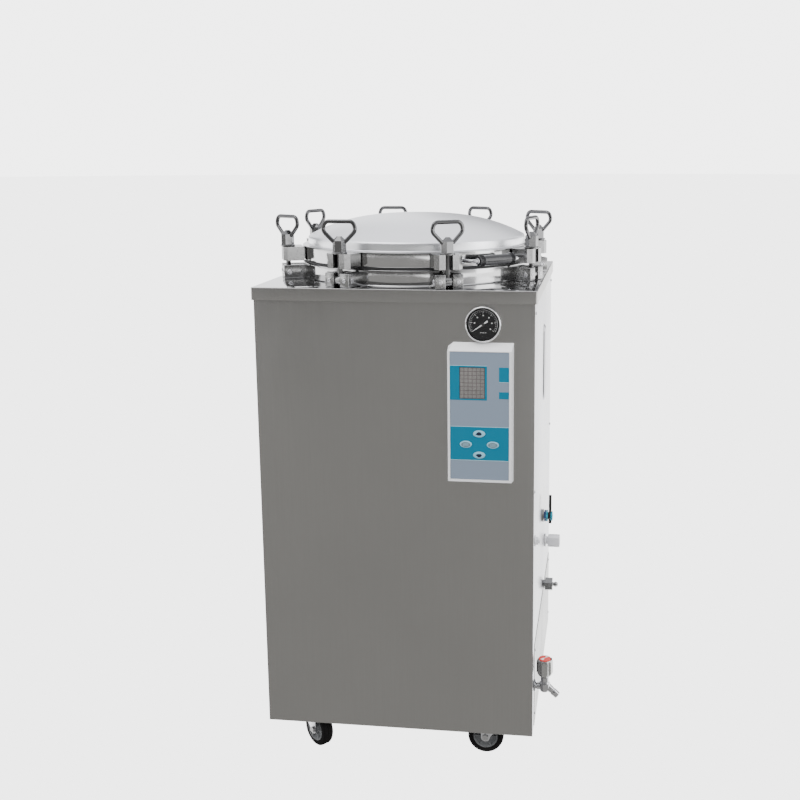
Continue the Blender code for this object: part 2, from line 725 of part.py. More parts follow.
# ---- Control panel ----
def add_controls(machine, white_plastic, membrane_film, window_grey, key_plastic, board_green):
    """Pieces are drawn with X to the right, Y up and Z out of the front, then stood on the panel."""
    low, high = -PANEL_FACE_BOTTOM, -PANEL_FACE_TOP
    opening_low = (PANEL_LEFT + BEZEL_WIDTH, low + BEZEL_WIDTH)
    opening_high = (PANEL_RIGHT - BEZEL_WIDTH, high - BEZEL_TOP)
    axis = add_empty("control_panel_plane", (0, -CABINET_HALF, COVER_TOP), machine, tilt=math.pi / 2)

    def housing(bm):
        """A frame whose top slopes back and whose right side has a little draft."""
        foot = [
            (PANEL_LEFT, low), (PANEL_RIGHT + 0.003, low), (PANEL_RIGHT + 0.003, high + 0.0145),
            (PANEL_LEFT + 0.010, high + 0.0145), (PANEL_LEFT, high + 0.0065),
        ]
        face = [
            (PANEL_LEFT, low), (PANEL_RIGHT, low), (PANEL_RIGHT, high), (PANEL_LEFT + 0.002, high),
            (PANEL_LEFT, high - 0.002),
        ]
        bottom = [bm.verts.new((x, y, GAP)) for x, y in foot]
        top = [bm.verts.new((x, y, PANEL_PROUD)) for x, y in face]
        bm.faces.new(bottom[::-1])
        bm.faces.new(top)
        for i, vertex in enumerate(bottom):
            j = (i + 1) % len(bottom)
            bm.faces.new((vertex, bottom[j], top[j], top[i]))
        bmesh.ops.triangulate(bm, faces=bm.faces[2:])

    def opening(bm):
        add_box(bm, (*opening_low, -0.01), (*opening_high, PANEL_PROUD + 0.01))

    def oval(radii, low_z, high_z):
        def build(bm):
            steps = 18
            turns = [2 * math.pi * i / steps for i in range(steps)]
            add_prism(bm, [(radii[0] * math.cos(a), radii[1] * math.sin(a)) for a in turns], low_z, high_z)
        return build

    def key_hole(centre):
        def build(bm):
            oval((KEY_RADII[0] + GAP, KEY_RADII[1] + GAP), -0.01, 0.03)(bm)
            place(bm, Matrix.Translation((centre[0], -centre[1], 0)))
        return build

    def film(bm):
        low_corner = (opening_low[0] + GAP, opening_low[1] + GAP, PANEL_PROUD - 0.0020)
        high_corner = (opening_high[0] - GAP, opening_high[1] - GAP, PANEL_PROUD - 0.0005)
        add_box(bm, low_corner, high_corner)

    def window_hole(bm):
        add_box(bm, (WINDOW_X[0], -WINDOW_DROP[1], -0.01), (WINDOW_X[1], -WINDOW_DROP[0], 0.03))

    def window(bm):
        low_corner = (WINDOW_X[0] + GAP, -WINDOW_DROP[1] + GAP, PANEL_PROUD - 0.0035)
        high_corner = (WINDOW_X[1] - GAP, -WINDOW_DROP[0] - GAP, PANEL_PROUD - 0.0008)
        add_box(bm, low_corner, high_corner)

    def board(bm):
        low_corner = (opening_low[0] + 0.003, opening_low[1] + 0.003, 0.0045)
        high_corner = (opening_high[0] - 0.003, opening_high[1] - 0.003, 0.0061)
        add_box(bm, low_corner, high_corner)

    def key(bm):
        oval(KEY_RADII, PANEL_PROUD - 0.0060, PANEL_PROUD + 0.0008)(bm)

    add_piece("control_housing", combined(housing, cuts=[opening]), white_plastic, axis)
    holes = [window_hole] + [key_hole(centre) for centre in KEYS.values()]
    add_piece("control_membrane", combined(film, cuts=holes), membrane_film, axis)
    add_piece("display_window", mesh_of(window), window_grey, axis)
    add_piece("control_board", mesh_of(board), board_green, axis)
    key_mesh = mesh_of(key)
    for name, (x, drop) in KEYS.items():
        button = add_piece(name, key_mesh, key_plastic, axis)
        button.location = (x, -drop, 0)


# ---- Fittings on the right side, with their Z pointing out of it ----
def side_empty(machine, name, y, drop):
    empty = add_empty(name, (CABINET_HALF, y, COVER_TOP - drop), machine)
    empty.rotation_euler = (math.pi / 2, 0, math.pi / 2)
    return empty


def add_exhaust_valve(machine, bright_steel, lever_black):
    axis = side_empty(machine, "exhaust_valve_axis", -0.010, 0.538)

    def body(bm):
        add_turned(bm, [
            (0.0, GAP), (0.014, GAP), (0.014, 0.003), (0.009, 0.004), (0.009, 0.013), (0.0045, 0.013),
            (0.0045, 0.0232), (0.0, 0.0232),
        ], 20)

    def hub(bm):
        bore = 0.0045 + GAP
        add_turned(bm, [(bore, 0.0135), (0.0085, 0.0135), (0.0085, 0.023), (bore, 0.023)], 16)

    def lever(bm):
        add_box(bm, (-0.0045, -0.017, 0.0155), (0.0045, -0.0065, 0.0205))
        add_box(bm, (-0.0045, 0.0065, 0.0155), (0.0045, 0.048, 0.0205))

    add_piece("exhaust_valve_body", mesh_of(body), bright_steel, axis)
    add_piece("exhaust_valve_lever", combined(hub, [lever]), lever_black, axis)


def add_side_fittings(machine, white_plastic, bright_steel):
    overflow = side_empty(machine, "overflow_fitting_axis", 0.090, 0.634)

    def flange(bm):
        add_cylinder(bm, 0.015, GAP, 0.004, 20)

    def elbow(bm):
        add_cylinder(bm, 0.009, 0.003, 0.020, 16)

    def block(bm):
        add_box(bm, (-0.013, -0.012, 0.008), (0.013, 0.0117, 0.036))

    add_piece("overflow_fitting", combined(flange, [elbow, block]), white_plastic, overflow)

    condensate = side_empty(machine, "condensate_valve_axis", 0.030, 0.716)

    def hexagon(bm):
        add_cylinder(bm, 0.0155, 0.006, 0.023, 6)

    def nozzle(bm):
        add_turned(bm, [
            (0.0, GAP), (0.009, GAP), (0.009, 0.008), (0.0045, 0.015), (0.0045, 0.027), (0.0060, 0.029),
            (0.0035, 0.035), (0.0, 0.035),
        ], 16)

    add_piece("condensate_valve", combined(nozzle, [hexagon]), bright_steel, condensate)


def add_drain_tap(machine, bright_steel, knob_metal):
    """A bib tap: its spout slopes down and ends at TAP_REACH, and its knob turns on a vertical stem."""
    tap_y, drop = -0.238, 0.822
    axis = add_empty("drain_tap_axis", (CABINET_HALF, tap_y, COVER_TOP - drop), machine)
    lie = Matrix.Rotation(math.pi / 2, 4, "Y")
    stem_x, spout_radius, slope = 0.022, 0.0075, math.radians(43)
    spout_start = (stem_x, 0, 0.006)

    def flange(bm):
        add_turned(bm, [
            (0.0, GAP), (0.012, GAP), (0.012, 0.004), (0.008, 0.005), (0.008, 0.024), (0.0, 0.024),
        ], 16)
        place(bm, lie)

    def body(bm):
        add_turned(bm, [
            (0.0, -0.012), (0.006, -0.012), (0.011, -0.006), (0.011, 0.010), (0.0085, 0.012),
            (0.0085, 0.022), (0.005, 0.024), (0.005, 0.047), (0.0, 0.047),
        ], 16)
        place(bm, Matrix.Translation((stem_x, 0, 0)))

    def spout(bm):
        """Turned down by slope; the low edge of its mouth is the tap's outermost point."""
        reach = TAP_REACH - CABINET_HALF - stem_x
        length = (reach - spout_radius * math.sin(slope)) / math.cos(slope)
        add_cylinder(bm, spout_radius, 0.0, length, 16)
        place(bm, Matrix.Translation(spout_start) @ Matrix.Rotation(math.pi / 2 + slope, 4, "Y"))

    def spout_bore(bm):
        reach = TAP_REACH - CABINET_HALF - stem_x
        length = (reach - spout_radius * math.sin(slope)) / math.cos(slope)
        add_cylinder(bm, spout_radius - 0.002, length - 0.012, length + 0.01, 12)
        place(bm, Matrix.Translation(spout_start) @ Matrix.Rotation(math.pi / 2 + slope, 4, "Y"))

    add_piece("drain_tap_body", combined(body, [flange, spout], [spout_bore]), bright_steel, axis)

    stem = add_empty("drain_tap_stem", (stem_x, 0, 0), axis)

    def knob_bore(bm):
        add_cylinder(bm, 0.005 + GAP, 0.0, 0.0475, 16)

    def knob(bm):
        add_turned(bm, [
            (0.0, 0.0255), (0.0135, 0.0255), (0.0165, 0.031), (0.0165, 0.057), (0.0125, 0.062), (0.0, 0.063),
        ], 20)

    add_piece("drain_tap_knob", combined(knob, cuts=[knob_bore]), knob_metal, stem)


def add_power_inlet(machine, black_plastic):
    """The cable gland low on the back."""
    axis = add_empty("power_inlet_axis", (-0.200, CABINET_HALF, 0.250), machine, tilt=-math.pi / 2)

    def gland(bm):
        add_turned(bm, [
            (0.0, GAP), (0.014, GAP), (0.014, 0.006), (0.011, 0.007), (0.009, 0.015), (0.005, 0.015),
            (0.005, 0.004), (0.0, 0.004),
        ], 20)

    add_piece("power_inlet", mesh_of(gland), black_plastic, axis)


def main():
    for old in list(bpy.data.objects):
        bpy.data.objects.remove(old)

    brushed = make_material("brushed_steel", (0.42, 0.41, 0.40), 1.0, 0.35)
    side_steel = make_material("side_steel", (0.80, 0.80, 0.82), 1.0, 0.30)
    bright = make_material("bright_steel", (0.72, 0.72, 0.72), 1.0, 0.12)
    satin = make_material("satin_steel", (0.80, 0.81, 0.84), 1.0, 0.35)
    frame_steel = make_material("frame_steel", (0.35, 0.36, 0.38), 1.0, 0.50)
    seal = make_material("seal_rubber", (0.03, 0.03, 0.03), 0.0, 0.70)
    black = make_material("black_plastic", (0.02, 0.02, 0.02), 0.0, 0.40)
    white = make_material("white_plastic", (0.90, 0.90, 0.90), 0.0, 0.35)
    film = make_material("membrane_film", (0.26, 0.30, 0.37), 0.0, 0.45)
    grey = make_material("window_grey", (0.36, 0.35, 0.34), 0.0, 0.30)
    key = make_material("key_plastic", (0.50, 0.68, 0.76), 0.0, 0.45)
    board = make_material("board_green", (0.03, 0.20, 0.08), 0.0, 0.50)
    glass = make_material("clear_glass", (0.95, 0.96, 0.96), 0.0, 0.05)

    machine = add_empty("machine", (MACHINE_X, 0, 0))
    add_frame(machine, frame_steel)
    add_panels(machine, brushed)
    bpy.data.objects["right_side_panel"].data.materials[0] = side_steel
    add_cover(machine, bright)
    add_chamber(machine, bright, seal, frame_steel, satin)
    add_lid(machine, satin, bright, black)
    add_clamps(machine, bright)
    add_castors(machine, bright, seal)
    add_gauge(machine, bright, black, glass, white)
    add_controls(machine, white, film, grey, key, board)
    add_exhaust_valve(machine, bright, black)
    add_side_fittings(machine, white, bright)
    add_drain_tap(machine, bright, frame_steel)
    add_power_inlet(machine, black)


main()
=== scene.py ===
"""Looks of the vertical pressure steam steriliser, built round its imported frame.

Pieces are drawn about the cabinet's own centre line, with z = 0 on the floor, then moved by CENTRE.
"""

import math

import bmesh
import bpy
from mathutils import Matrix, Vector


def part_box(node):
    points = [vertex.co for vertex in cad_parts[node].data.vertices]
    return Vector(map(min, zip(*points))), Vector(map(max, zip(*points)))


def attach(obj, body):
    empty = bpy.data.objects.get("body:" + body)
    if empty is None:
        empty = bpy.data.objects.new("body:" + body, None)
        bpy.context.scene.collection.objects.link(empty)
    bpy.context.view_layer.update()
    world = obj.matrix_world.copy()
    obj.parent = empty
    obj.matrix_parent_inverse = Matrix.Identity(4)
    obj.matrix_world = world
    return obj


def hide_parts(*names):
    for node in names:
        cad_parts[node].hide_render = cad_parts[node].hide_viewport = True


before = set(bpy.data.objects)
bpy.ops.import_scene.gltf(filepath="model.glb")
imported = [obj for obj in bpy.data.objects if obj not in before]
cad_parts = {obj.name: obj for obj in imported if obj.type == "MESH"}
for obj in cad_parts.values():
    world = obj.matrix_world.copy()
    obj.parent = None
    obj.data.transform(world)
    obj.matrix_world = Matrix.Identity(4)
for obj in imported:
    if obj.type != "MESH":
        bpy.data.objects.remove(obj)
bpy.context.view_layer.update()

# ---- Sizes taken from the frame, in metres ----
vessel_low, vessel_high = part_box("chamber_vessel")
panel_low, panel_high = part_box("front_panel")
CENTRE = Matrix.Translation(((vessel_low.x + vessel_high.x) / 2, 0.0, 0.0))
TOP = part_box("top_cover")[1].z              # the cover's top face
HALF = panel_high.x - CENTRE.translation.x  # half the width over the side sheets
PANEL_LOW, PANEL_HIGH = panel_low.z, panel_high.z

# ---- Sizes that several pieces share, in metres. A drop is below TOP and a rise above it ----
SHEET = 0.0015                              # thickness of the cabinet's sheets
GAP = 0.0003                                # clearance between fixed pieces
CHAMBER = 0.2                               # inner radius
WALL = 0.003                                # the chamber's wall
FLOOR = TOP - 0.6                           # the chamber's floor
RIM = 0.245                                 # radius of the collar and of the lid's rim
COLLAR_RISE = 0.032
LID_RISE, RIM_RISE, APEX_RISE = 0.037, 0.067, 0.13
BOLT_CIRCLE, PIVOT = 0.277, 0.0135          # the clamps' pins: their circle and their rise
RING_HEADINGS = (33.0, 72.0, -31.0, -28.0, 5.0, 67.0, -32.0, 0.0)
HINGE_REACH, HINGE_HEADING, HINGE_RISE = 0.325, 135, 0.07
ELEMENT = 0.12                              # radius of the heater's loop
GAUGE_X, GAUGE_DROP = 0.177, 0.0642
DIAL_START, DIAL_SWEEP = 215, 250           # degrees
LOUVRE_DROP, LOW_PANEL_DROP = 0.1925, 0.735
CASTOR_X, CASTOR_Y, CASTOR_TOP = 0.2, 0.22, 0.0967
WHEEL, TRAIL = 0.0375, 0.025                # a castor wheel's radius and its trail
CASTOR_HEADINGS = (180.0, -40.0, 25.0, 150.0)
CASTOR_CORNERS = ((1, -1), (-1, -1), (-1, 1), (1, 1))
IDENTITY = Matrix.Identity(4)


# ---- Places ----
def move(x, y, z):
    return Matrix.Translation((x, y, z))


def turn(degrees, axis="Z"):
    return Matrix.Rotation(math.radians(degrees), 4, axis)


def polar(radius, degrees, z=0.0):
    angle = math.radians(degrees)
    return Vector((radius * math.cos(angle), radius * math.sin(angle), z))


def clamp_heading(number):
    return -67.5 + 45.0 * (number - 1)


FRONT = turn(90, "X")                      # X right, Y up, Z out of the front
SIDE = turn(90, "Z") @ turn(90, "X")       # X to the back, Y up, Z out of the right side
BACK = turn(180, "Z") @ turn(90, "X")      # X left, Y up, Z out of the back


def on_front(x, drop, proud=0.0):
    return move(x, -HALF - proud, TOP - drop) @ FRONT


def on_side(y, drop, proud=0.0):
    return move(HALF + proud, y, TOP - drop) @ SIDE


def on_back(x, z, proud=0.0):
    return move(x, HALF + proud, z) @ BACK


# ---- Outlines ----
def rectangle(left, low, right, high):
    return [(left, low), (right, low), (right, high), (left, high)]


def arc(radius, start, end, steps):
    """Points round the origin, between two angles in degrees."""
    return [tuple(polar(radius, start + (end - start) * i / steps).xy) for i in range(steps + 1)]


def oval(half_x, half_y, steps=40):
    turns = [2 * math.pi * i / steps for i in range(steps)]
    return [(half_x * math.cos(a), half_y * math.sin(a)) for a in turns]


def soften(points, radius, steps=3, closed=False):
    """A polyline with its corners rounded."""
    points = [Vector(p) for p in points]
    count = len(points)
    made = []
    for i, corner in enumerate(points):
        if not closed and i in (0, count - 1):
            made.append(corner)
            continue
        before = points[i - 1] - corner
        after = points[(i + 1) % count] - corner
        straight = before.length < 1e-9 or after.length < 1e-9
        if straight or before.angle(after) > math.radians(172):
            made.append(corner)
            continue
        reach = min(radius, 0.45 * before.length, 0.45 * after.length)
        start = corner + before.normalized() * reach
        end = corner + after.normalized() * reach
        for step in range(steps + 1):
            t = step / steps
            made.append(start * (1 - t) ** 2 + corner * (2 * t * (1 - t)) + end * t ** 2)
    return made


# ---- Shapes: each returns a bmesh ----
def moved(part, matrix):
    bmesh.ops.transform(part, matrix=matrix, verts=part.verts)
    return part


def turned(profile, steps=48):
    """A profile of (radius, z) turned round Z. It closes on the axis or on itself."""
    bm = bmesh.new()
    profile = [Vector(p) for p in profile]
    on_axis = profile[0].x < 1e-7 and profile[-1].x < 1e-7
    columns = []
    for p in profile:
        if p.x < 1e-7:
            columns.append([bm.verts.new((0, 0, p.y))] * steps)
            continue
        angles = [2 * math.pi * (k + 0.5) / steps for k in range(steps)]
        columns.append([bm.verts.new((p.x * math.cos(a), p.x * math.sin(a), p.y)) for a in angles])
    pairs = list(zip(columns, columns[1:]))
    if not on_axis:
        pairs.append((columns[-1], columns[0]))
    for low, high in pairs:
        for k in range(steps):
            j = (k + 1) % steps
            corners = []
            for vertex in (low[k], low[j], high[j], high[k]):
                if vertex not in corners:
                    corners.append(vertex)
            if len(corners) > 2:
                bm.faces.new(corners)
    return bm


def disc(radius, low, high, rounding=0.0, steps=32):
    """A round plate or pin about Z."""
    section = rectangle(0.0, low, radius, high)
    return turned(soften(section, rounding) if rounding else section, steps)


def washer(inner, outer, low, high, rounding, steps=32, corner_steps=3):
    section = rectangle(inner, low, outer, high)
    return turned(soften(section, rounding, corner_steps, True), steps)


def stud(radius, low, shoulder, tip, high, rounding, steps=32):
    """A pin about Z that narrows from its shoulder to the radius tip."""
    section = [(0.0, low), (radius, low), (radius, shoulder), (tip, high), (0.0, high)]
    return turned(soften(section, rounding), steps)


def round_edges(bm, radius, segments=2, degrees=30):
    edges = []
    for edge in bm.edges:
        if len(edge.link_faces) == 2 and edge.calc_face_angle(0.0) > math.radians(degrees):
            edges.append(edge)
    bmesh.ops.bevel(
        bm, geom=edges, offset=radius, segments=segments, affect="EDGES", profile=0.5, clamp_overlap=True
    )
    return bm


def block(low, high, radius=0.0006, segments=2):
    """A box with its edges rounded."""
    low, high = Vector(low), Vector(high)
    bm = bmesh.new()
    bmesh.ops.create_cube(bm, size=1.0)
    size = Matrix.Diagonal((*(high - low), 1.0))
    moved(bm, move(*((low + high) / 2)) @ size)
    return round_edges(bm, radius, segments) if radius else bm


def prism(outline, low, high, radius=0.0, segments=2, degrees=30):
    """An XY outline, counter-clockwise, extruded along Z."""
    bm = bmesh.new()
    bottom = [bm.verts.new((p[0], p[1], low)) for p in outline]
    top = [bm.verts.new((p[0], p[1], high)) for p in outline]
    bm.faces.new(bottom[::-1])
    bm.faces.new(top)
    for i, vertex in enumerate(bottom):
        j = (i + 1) % len(outline)
        bm.faces.new((vertex, bottom[j], top[j], top[i]))
    return round_edges(bm, radius, segments, degrees) if radius else bm


def hexagon(radius, low, high, rounding=0.0005):
    outline = [polar(radius, 30 + 60 * i) for i in range(6)]
    return prism(outline, low, high, rounding, 2, 20)


def loft(rings):
    """A closed shape over rings of points, all of one length."""
    bm = bmesh.new()
    rings = [[bm.verts.new(point) for point in ring] for ring in rings]
    bm.faces.new(rings[0][::-1])
    bm.faces.new(rings[-1])
    for low, high in zip(rings, rings[1:]):
        for k, vertex in enumerate(low):
            j = (k + 1) % len(low)
            bm.faces.new((vertex, low[j], high[j], high[k]))
    return bm


def tube(points, radius, sides=12, closed=False):
    """A round bar along a path. radius is a number or one for each point."""
    bm = bmesh.new()
    points = [Vector(p) for p in points]
    count = len(points)
    radii = radius if isinstance(radius, (list, tuple)) else [radius] * count
    across = None
    rings = []
    for i, point in enumerate(points):
        before = points[i - 1] if closed or i else point
        after = points[(i + 1) % count] if closed or i + 1 < count else point
        along = (after - before).normalized()
        if across is None:
            normal = (points[1] - points[0]).cross(points[count // 2] - points[0])
            across = along.cross(normal) if normal.length > 1e-9 else along.orthogonal()
        across = (across - along * across.dot(along)).normalized()
        other = along.cross(across)
        ring = []
        for k in range(sides):
            angle = 2 * math.pi * k / sides
            offset = across * math.cos(angle) + other * math.sin(angle)
            ring.append(bm.verts.new(point + radii[i] * offset))
        rings.append(ring)
    pairs = list(zip(rings, rings[1:]))
    if closed:
        pairs.append((rings[-1], rings[0]))
    else:
        bm.faces.new(rings[0][::-1])
        bm.faces.new(rings[-1])
    for first, second in pairs:
        for k in range(sides):
            j = (k + 1) % sides
            bm.faces.new((first[k], first[j], second[j], second[k]))
    return bm


def screw(radius=0.0035, height=0.0022):
    """A pan head with a round socket, its seat at z = 0."""
    profile = [
        (0.0, 0.35 * height), (0.42 * radius, 0.35 * height), (0.46 * radius, 0.92 * height),
        (0.6 * radius, height), (0.86 * radius, 0.85 * height), (radius, 0.45 * height), (radius, -0.0004),
        (0.0, -0.0004),
    ]
    return turned(profile, 20)


# ---- Putting shapes together ----
def add(bm, part, matrix=IDENTITY, material=0):
    """Move a part into bm, in one material."""
    bmesh.ops.recalc_face_normals(part, faces=part.faces)
    moved(part, matrix)
    for face in part.faces:
        face.material_index = material
    mesh = bpy.data.meshes.new("part")
    part.to_mesh(mesh)
    part.free()
    bm.from_mesh(mesh)
    bpy.data.meshes.remove(mesh)
    return bm


def object_of(part):
    bmesh.ops.recalc_face_normals(part, faces=part.faces)
    mesh = bpy.data.meshes.new("helper")
    part.to_mesh(mesh)
    part.free()
    helper = bpy.data.objects.new("helper", mesh)
    bpy.context.scene.collection.objects.link(helper)
    return helper


def carve(part, *tools):
    """The part with each tool cut out of it."""
    body = object_of(part)
    helpers = [object_of(tool) for tool in tools]
    for helper in helpers:
        boolean = body.modifiers.new("cut", "BOOLEAN")
        boolean.operation = "DIFFERENCE"
        boolean.object = helper
    graph = bpy.context.evaluated_depsgraph_get()
    mesh = bpy.data.meshes.new_from_object(body.evaluated_get(graph))
    bm = bmesh.new()
    bm.from_mesh(mesh)
    bpy.data.meshes.remove(mesh)
    for helper in (body, *helpers):
        data = helper.data
        bpy.data.objects.remove(helper)
        bpy.data.meshes.remove(data)
    return bm


def mesh_of(bm, materials, smooth=35):
    mesh = bpy.data.meshes.new("piece")
    bmesh.ops.recalc_face_normals(bm, faces=bm.faces)
    bm.to_mesh(mesh)
    bm.free()
    for material in materials:
        mesh.materials.append(material)
    mesh.shade_smooth()
    mesh.set_sharp_from_angle(angle=math.radians(smooth))
    return mesh


def show(name, body, mesh, replaced=(), matrix=IDENTITY):
    """A piece from a mesh: it rides on a body and may stand for CAD nodes."""
    mesh = mesh.copy()
    mesh.transform(CENTRE @ matrix)
    piece = bpy.data.objects.new(name, mesh)
    bpy.context.scene.collection.objects.link(piece)
    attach(piece, body)
    if replaced:
        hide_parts(*replaced)
    return piece


def piece(name, body, bm, materials, replaced=(), slot=None, smooth=35):
    return show(name, body, mesh_of(bm, materials, smooth), replaced)


# ---- Materials ----
EVEN = (1.0, 1.0, 1.0)


def new_node(tree, kind, inputs=None, **settings):
    made = tree.nodes.new(kind)
    for key, value in settings.items():
        setattr(made, key, value)
    for key, value in (inputs or {}).items():
        if isinstance(value, bpy.types.NodeSocket):
            tree.links.new(value, made.inputs[key])
        else:
            made.inputs[key].default_value = value
    return made


def noise(tree, scale, stretch=EVEN, detail=3.0, roughness=0.5, offset=(0.0, 0.0, 0.0)):
    coordinates = new_node(tree, "ShaderNodeTexCoord").outputs["Object"]
    inputs = {"Vector": coordinates, "Scale": stretch, "Location": offset}
    mapping = new_node(tree, "ShaderNodeMapping", inputs)
    inputs = {"Vector": mapping.outputs["Vector"], "Scale": scale, "Detail": detail, "Roughness": roughness}
    return new_node(tree, "ShaderNodeTexNoise", inputs).outputs["Fac"]


def remap(tree, value, low, high, out_low, out_high):
    inputs = {"Value": value, "From Min": low, "From Max": high, "To Min": out_low, "To Max": out_high}
    return new_node(tree, "ShaderNodeMapRange", inputs).outputs["Result"]


def blend(tree, factor, first, second):
    mix = new_node(tree, "ShaderNodeMix", data_type="RGBA")
    for index, value in ((0, factor), (6, first), (7, second)):
        if isinstance(value, bpy.types.NodeSocket):
            tree.links.new(value, mix.inputs[index])
        elif index:
            mix.inputs[index].default_value = (*value, 1.0)
        else:
            mix.inputs[index].default_value = value
    return mix.outputs[2]


def shade(colour, factor):
    return tuple(min(1.0, c * factor) for c in colour)


def surface(
    name, colour, roughness, metallic, grain, patch, spread, bump, change=0.08, second=None, specular=0.5
):
    """A material whose colour, roughness and relief vary.

    grain is (scale, stretch) of the fine pattern, patch the scale of the broad one, spread how far the
    colour strays, bump the relief in metres, change how far the roughness strays, second a colour that
    the broad pattern brings in, and specular the strength of the gloss.
    """
    material = bpy.data.materials.new(name)
    material.use_nodes = True
    tree = material.node_tree
    shader = tree.nodes["Principled BSDF"]
    fine = noise(tree, grain[0], grain[1], 4.0, 0.6)
    broad = noise(tree, patch, EVEN, 3.0, 0.55, (3.1, 1.7, 0.4))
    fine_fac = remap(tree, fine, 0.3, 0.7, 0.0, 1.0)
    broad_fac = remap(tree, broad, 0.35, 0.65, 0.0, 1.0)
    grained = blend(tree, fine_fac, shade(colour, 1.0 - spread), shade(colour, 1.0 + spread))
    other = second or colour
    toned = blend(tree, fine_fac, shade(other, 1.0 - spread), shade(other, 1.0 + 0.4 * spread))
    tree.links.new(blend(tree, broad_fac, grained, toned), shader.inputs["Base Color"])
    shader.inputs["Metallic"].default_value = metallic
    shader.inputs["Specular IOR Level"].default_value = specular
    mixed = new_node(tree, "ShaderNodeMath", {0: fine, 1: broad}, operation="ADD").outputs["Value"]
    rough = remap(tree, mixed, 0.7, 1.3, max(0.02, roughness - change), roughness + change)
    tree.links.new(rough, shader.inputs["Roughness"])
    relief = new_node(tree, "ShaderNodeBump", {"Height": fine, "Strength": 1.0, "Distance": bump})
    tree.links.new(relief.outputs["Normal"], shader.inputs["Normal"])
    material.diffuse_color = (*colour, 1.0)
    return material


def steel(name, colour, roughness, scale=60.0, stretch=EVEN, bump=0.00002, spread=0.05, **more):
    return surface(name, colour, roughness, 1.0, (scale, stretch), 4.0, spread, bump, **more)


def moulded(name, colour, roughness, scale=900.0, bump=0.00003, spread=0.05, **more):
    return surface(name, colour, roughness, 0.0, (scale, EVEN), 9.0, spread, bump, **more)


UPRIGHT_GRAIN = (1.0, 1.0, 0.008)
brushed = steel("brushed_front", (0.34, 0.335, 0.325), 0.36, 1100.0, UPRIGHT_GRAIN, 0.000005, 0.035)
# The right side's steel is a lighter copy of the front's steel: painted light for the lit side.
side_steel_painted_light = steel("side_steel_painted_light", (0.46, 0.46, 0.475), 0.3, 1500.0, UPRIGHT_GRAIN, 0.000006, 0.04)
# A darker copy of the side's steel for the low field on the right side: painted shade.
low_panel_painted_shade = steel("low_panel_steel_painted_shade", (0.18, 0.177, 0.172), 0.32, 1500.0, UPRIGHT_GRAIN, 0.000006, 0.06)
polished = steel("polished_steel", (0.44, 0.44, 0.44), 0.1, 30.0, bump=0.00001, change=0.05)
mirror = steel("mirror_cover", (0.74, 0.74, 0.75), 0.07, 14.0, bump=0.00002, spread=0.03, change=0.04)
satin = steel("satin_dome", (0.93, 0.94, 0.965), 0.34, 700.0, bump=0.00001, spread=0.03)
cast = steel("cast_steel", (0.3, 0.3, 0.3), 0.22, 240.0, bump=0.00001, spread=0.05)
cast_bright = steel("machined_steel", (0.27, 0.27, 0.27), 0.18, 200.0, bump=0.00001, spread=0.05)
# Nut steel with a dark base colour, so that its faces show dark between highlights: a painted dark
# reflection.
nut_steel_painted_dark = steel("nut_steel_painted_dark", (0.17, 0.17, 0.172), 0.12, 120.0, bump=0.00001, spread=0.05, change=0.05)
# Chrome with a dark base colour, so that it shows dark between its highlights: a painted dark reflection.
chrome_painted_dark = steel("chrome_painted_dark", (0.12, 0.12, 0.122), 0.07, 40.0, bump=0.00001, spread=0.04, change=0.04)
threaded = steel("thread_steel", (0.42, 0.42, 0.42), 0.32, 300.0, spread=0.1)
tap_chrome = steel("tap_chrome", (0.5, 0.5, 0.51), 0.09, 40.0, bump=0.00001, spread=0.04, change=0.04)
gauge_chrome = steel(
    "gauge_bezel_chrome", (0.88, 0.88, 0.89), 0.1, 60.0, bump=0.00001, spread=0.02, change=0.05
)
knob_grey = steel("knob_grey_metal", (0.44, 0.44, 0.43), 0.34, 400.0, spread=0.08)
inner_steel = steel("chamber_steel", (0.72, 0.72, 0.73), 0.22, 500.0, UPRIGHT_GRAIN, 0.00002)
heater = steel("heater_sheath", (0.3, 0.27, 0.24), 0.42, 200.0, spread=0.2, second=(0.2, 0.17, 0.22))
zinc = steel("zinc_plate", (0.62, 0.62, 0.64), 0.26, 160.0, spread=0.12)
painted = surface("frame_paint", (0.3, 0.31, 0.33), 0.55, 0.0, (500.0, EVEN), 8.0, 0.1, 0.00006)
# Black rubber for the gasket, also used for dark strips on the right side that are painted shade.
rubber_and_painted_shade = moulded("seal_rubber", (0.02, 0.02, 0.021), 0.62)
tyre = moulded(
    "tyre_rubber", (0.008, 0.008, 0.009), 0.6, 500.0, 0.00004, 0.25, second=(0.012, 0.011, 0.011),
    specular=0.03,
)
hub_grey = moulded("hub_plastic", (0.16, 0.165, 0.17), 0.42, specular=0.2)
black = moulded("black_plastic", (0.014, 0.014, 0.016), 0.2, change=0.08)
# Black moulding for real black parts, also used for painted shade in the spout's bore and under the back's
# vents.
black_and_painted_shade = moulded("black_moulding_and_painted_shade", (0.02, 0.02, 0.022), 0.46)
white = moulded("white_plastic", (0.93, 0.935, 0.95), 0.28, spread=0.02)
clear_white = moulded("milky_plastic", (0.8, 0.8, 0.82), 0.3, spread=0.04)
film_blue = moulded("film_grey_blue", (0.235, 0.29, 0.365), 0.4, 1400.0, 0.00001, 0.04, specular=0.2)
film_teal = moulded("film_teal", (0.000, 0.185, 0.3), 0.38, 1400.0, 0.00001, 0.05, specular=0.15)
film_line = moulded("film_pale_line", (0.42, 0.66, 0.74), 0.4, 1400.0, 0.00001)
key_cyan = moulded("key_cyan", (0.26, 0.58, 0.72), 0.34, 1200.0, 0.00001)
key_grey = moulded("key_grey", (0.16, 0.2, 0.23), 0.36, 1200.0, 0.00001)
key_navy = moulded("key_navy", (0.004, 0.006, 0.03), 0.34, 1200.0, 0.00001)
window_dark = moulded("window_rule", (0.11, 0.095, 0.092), 0.3, 1200.0, 0.00001)
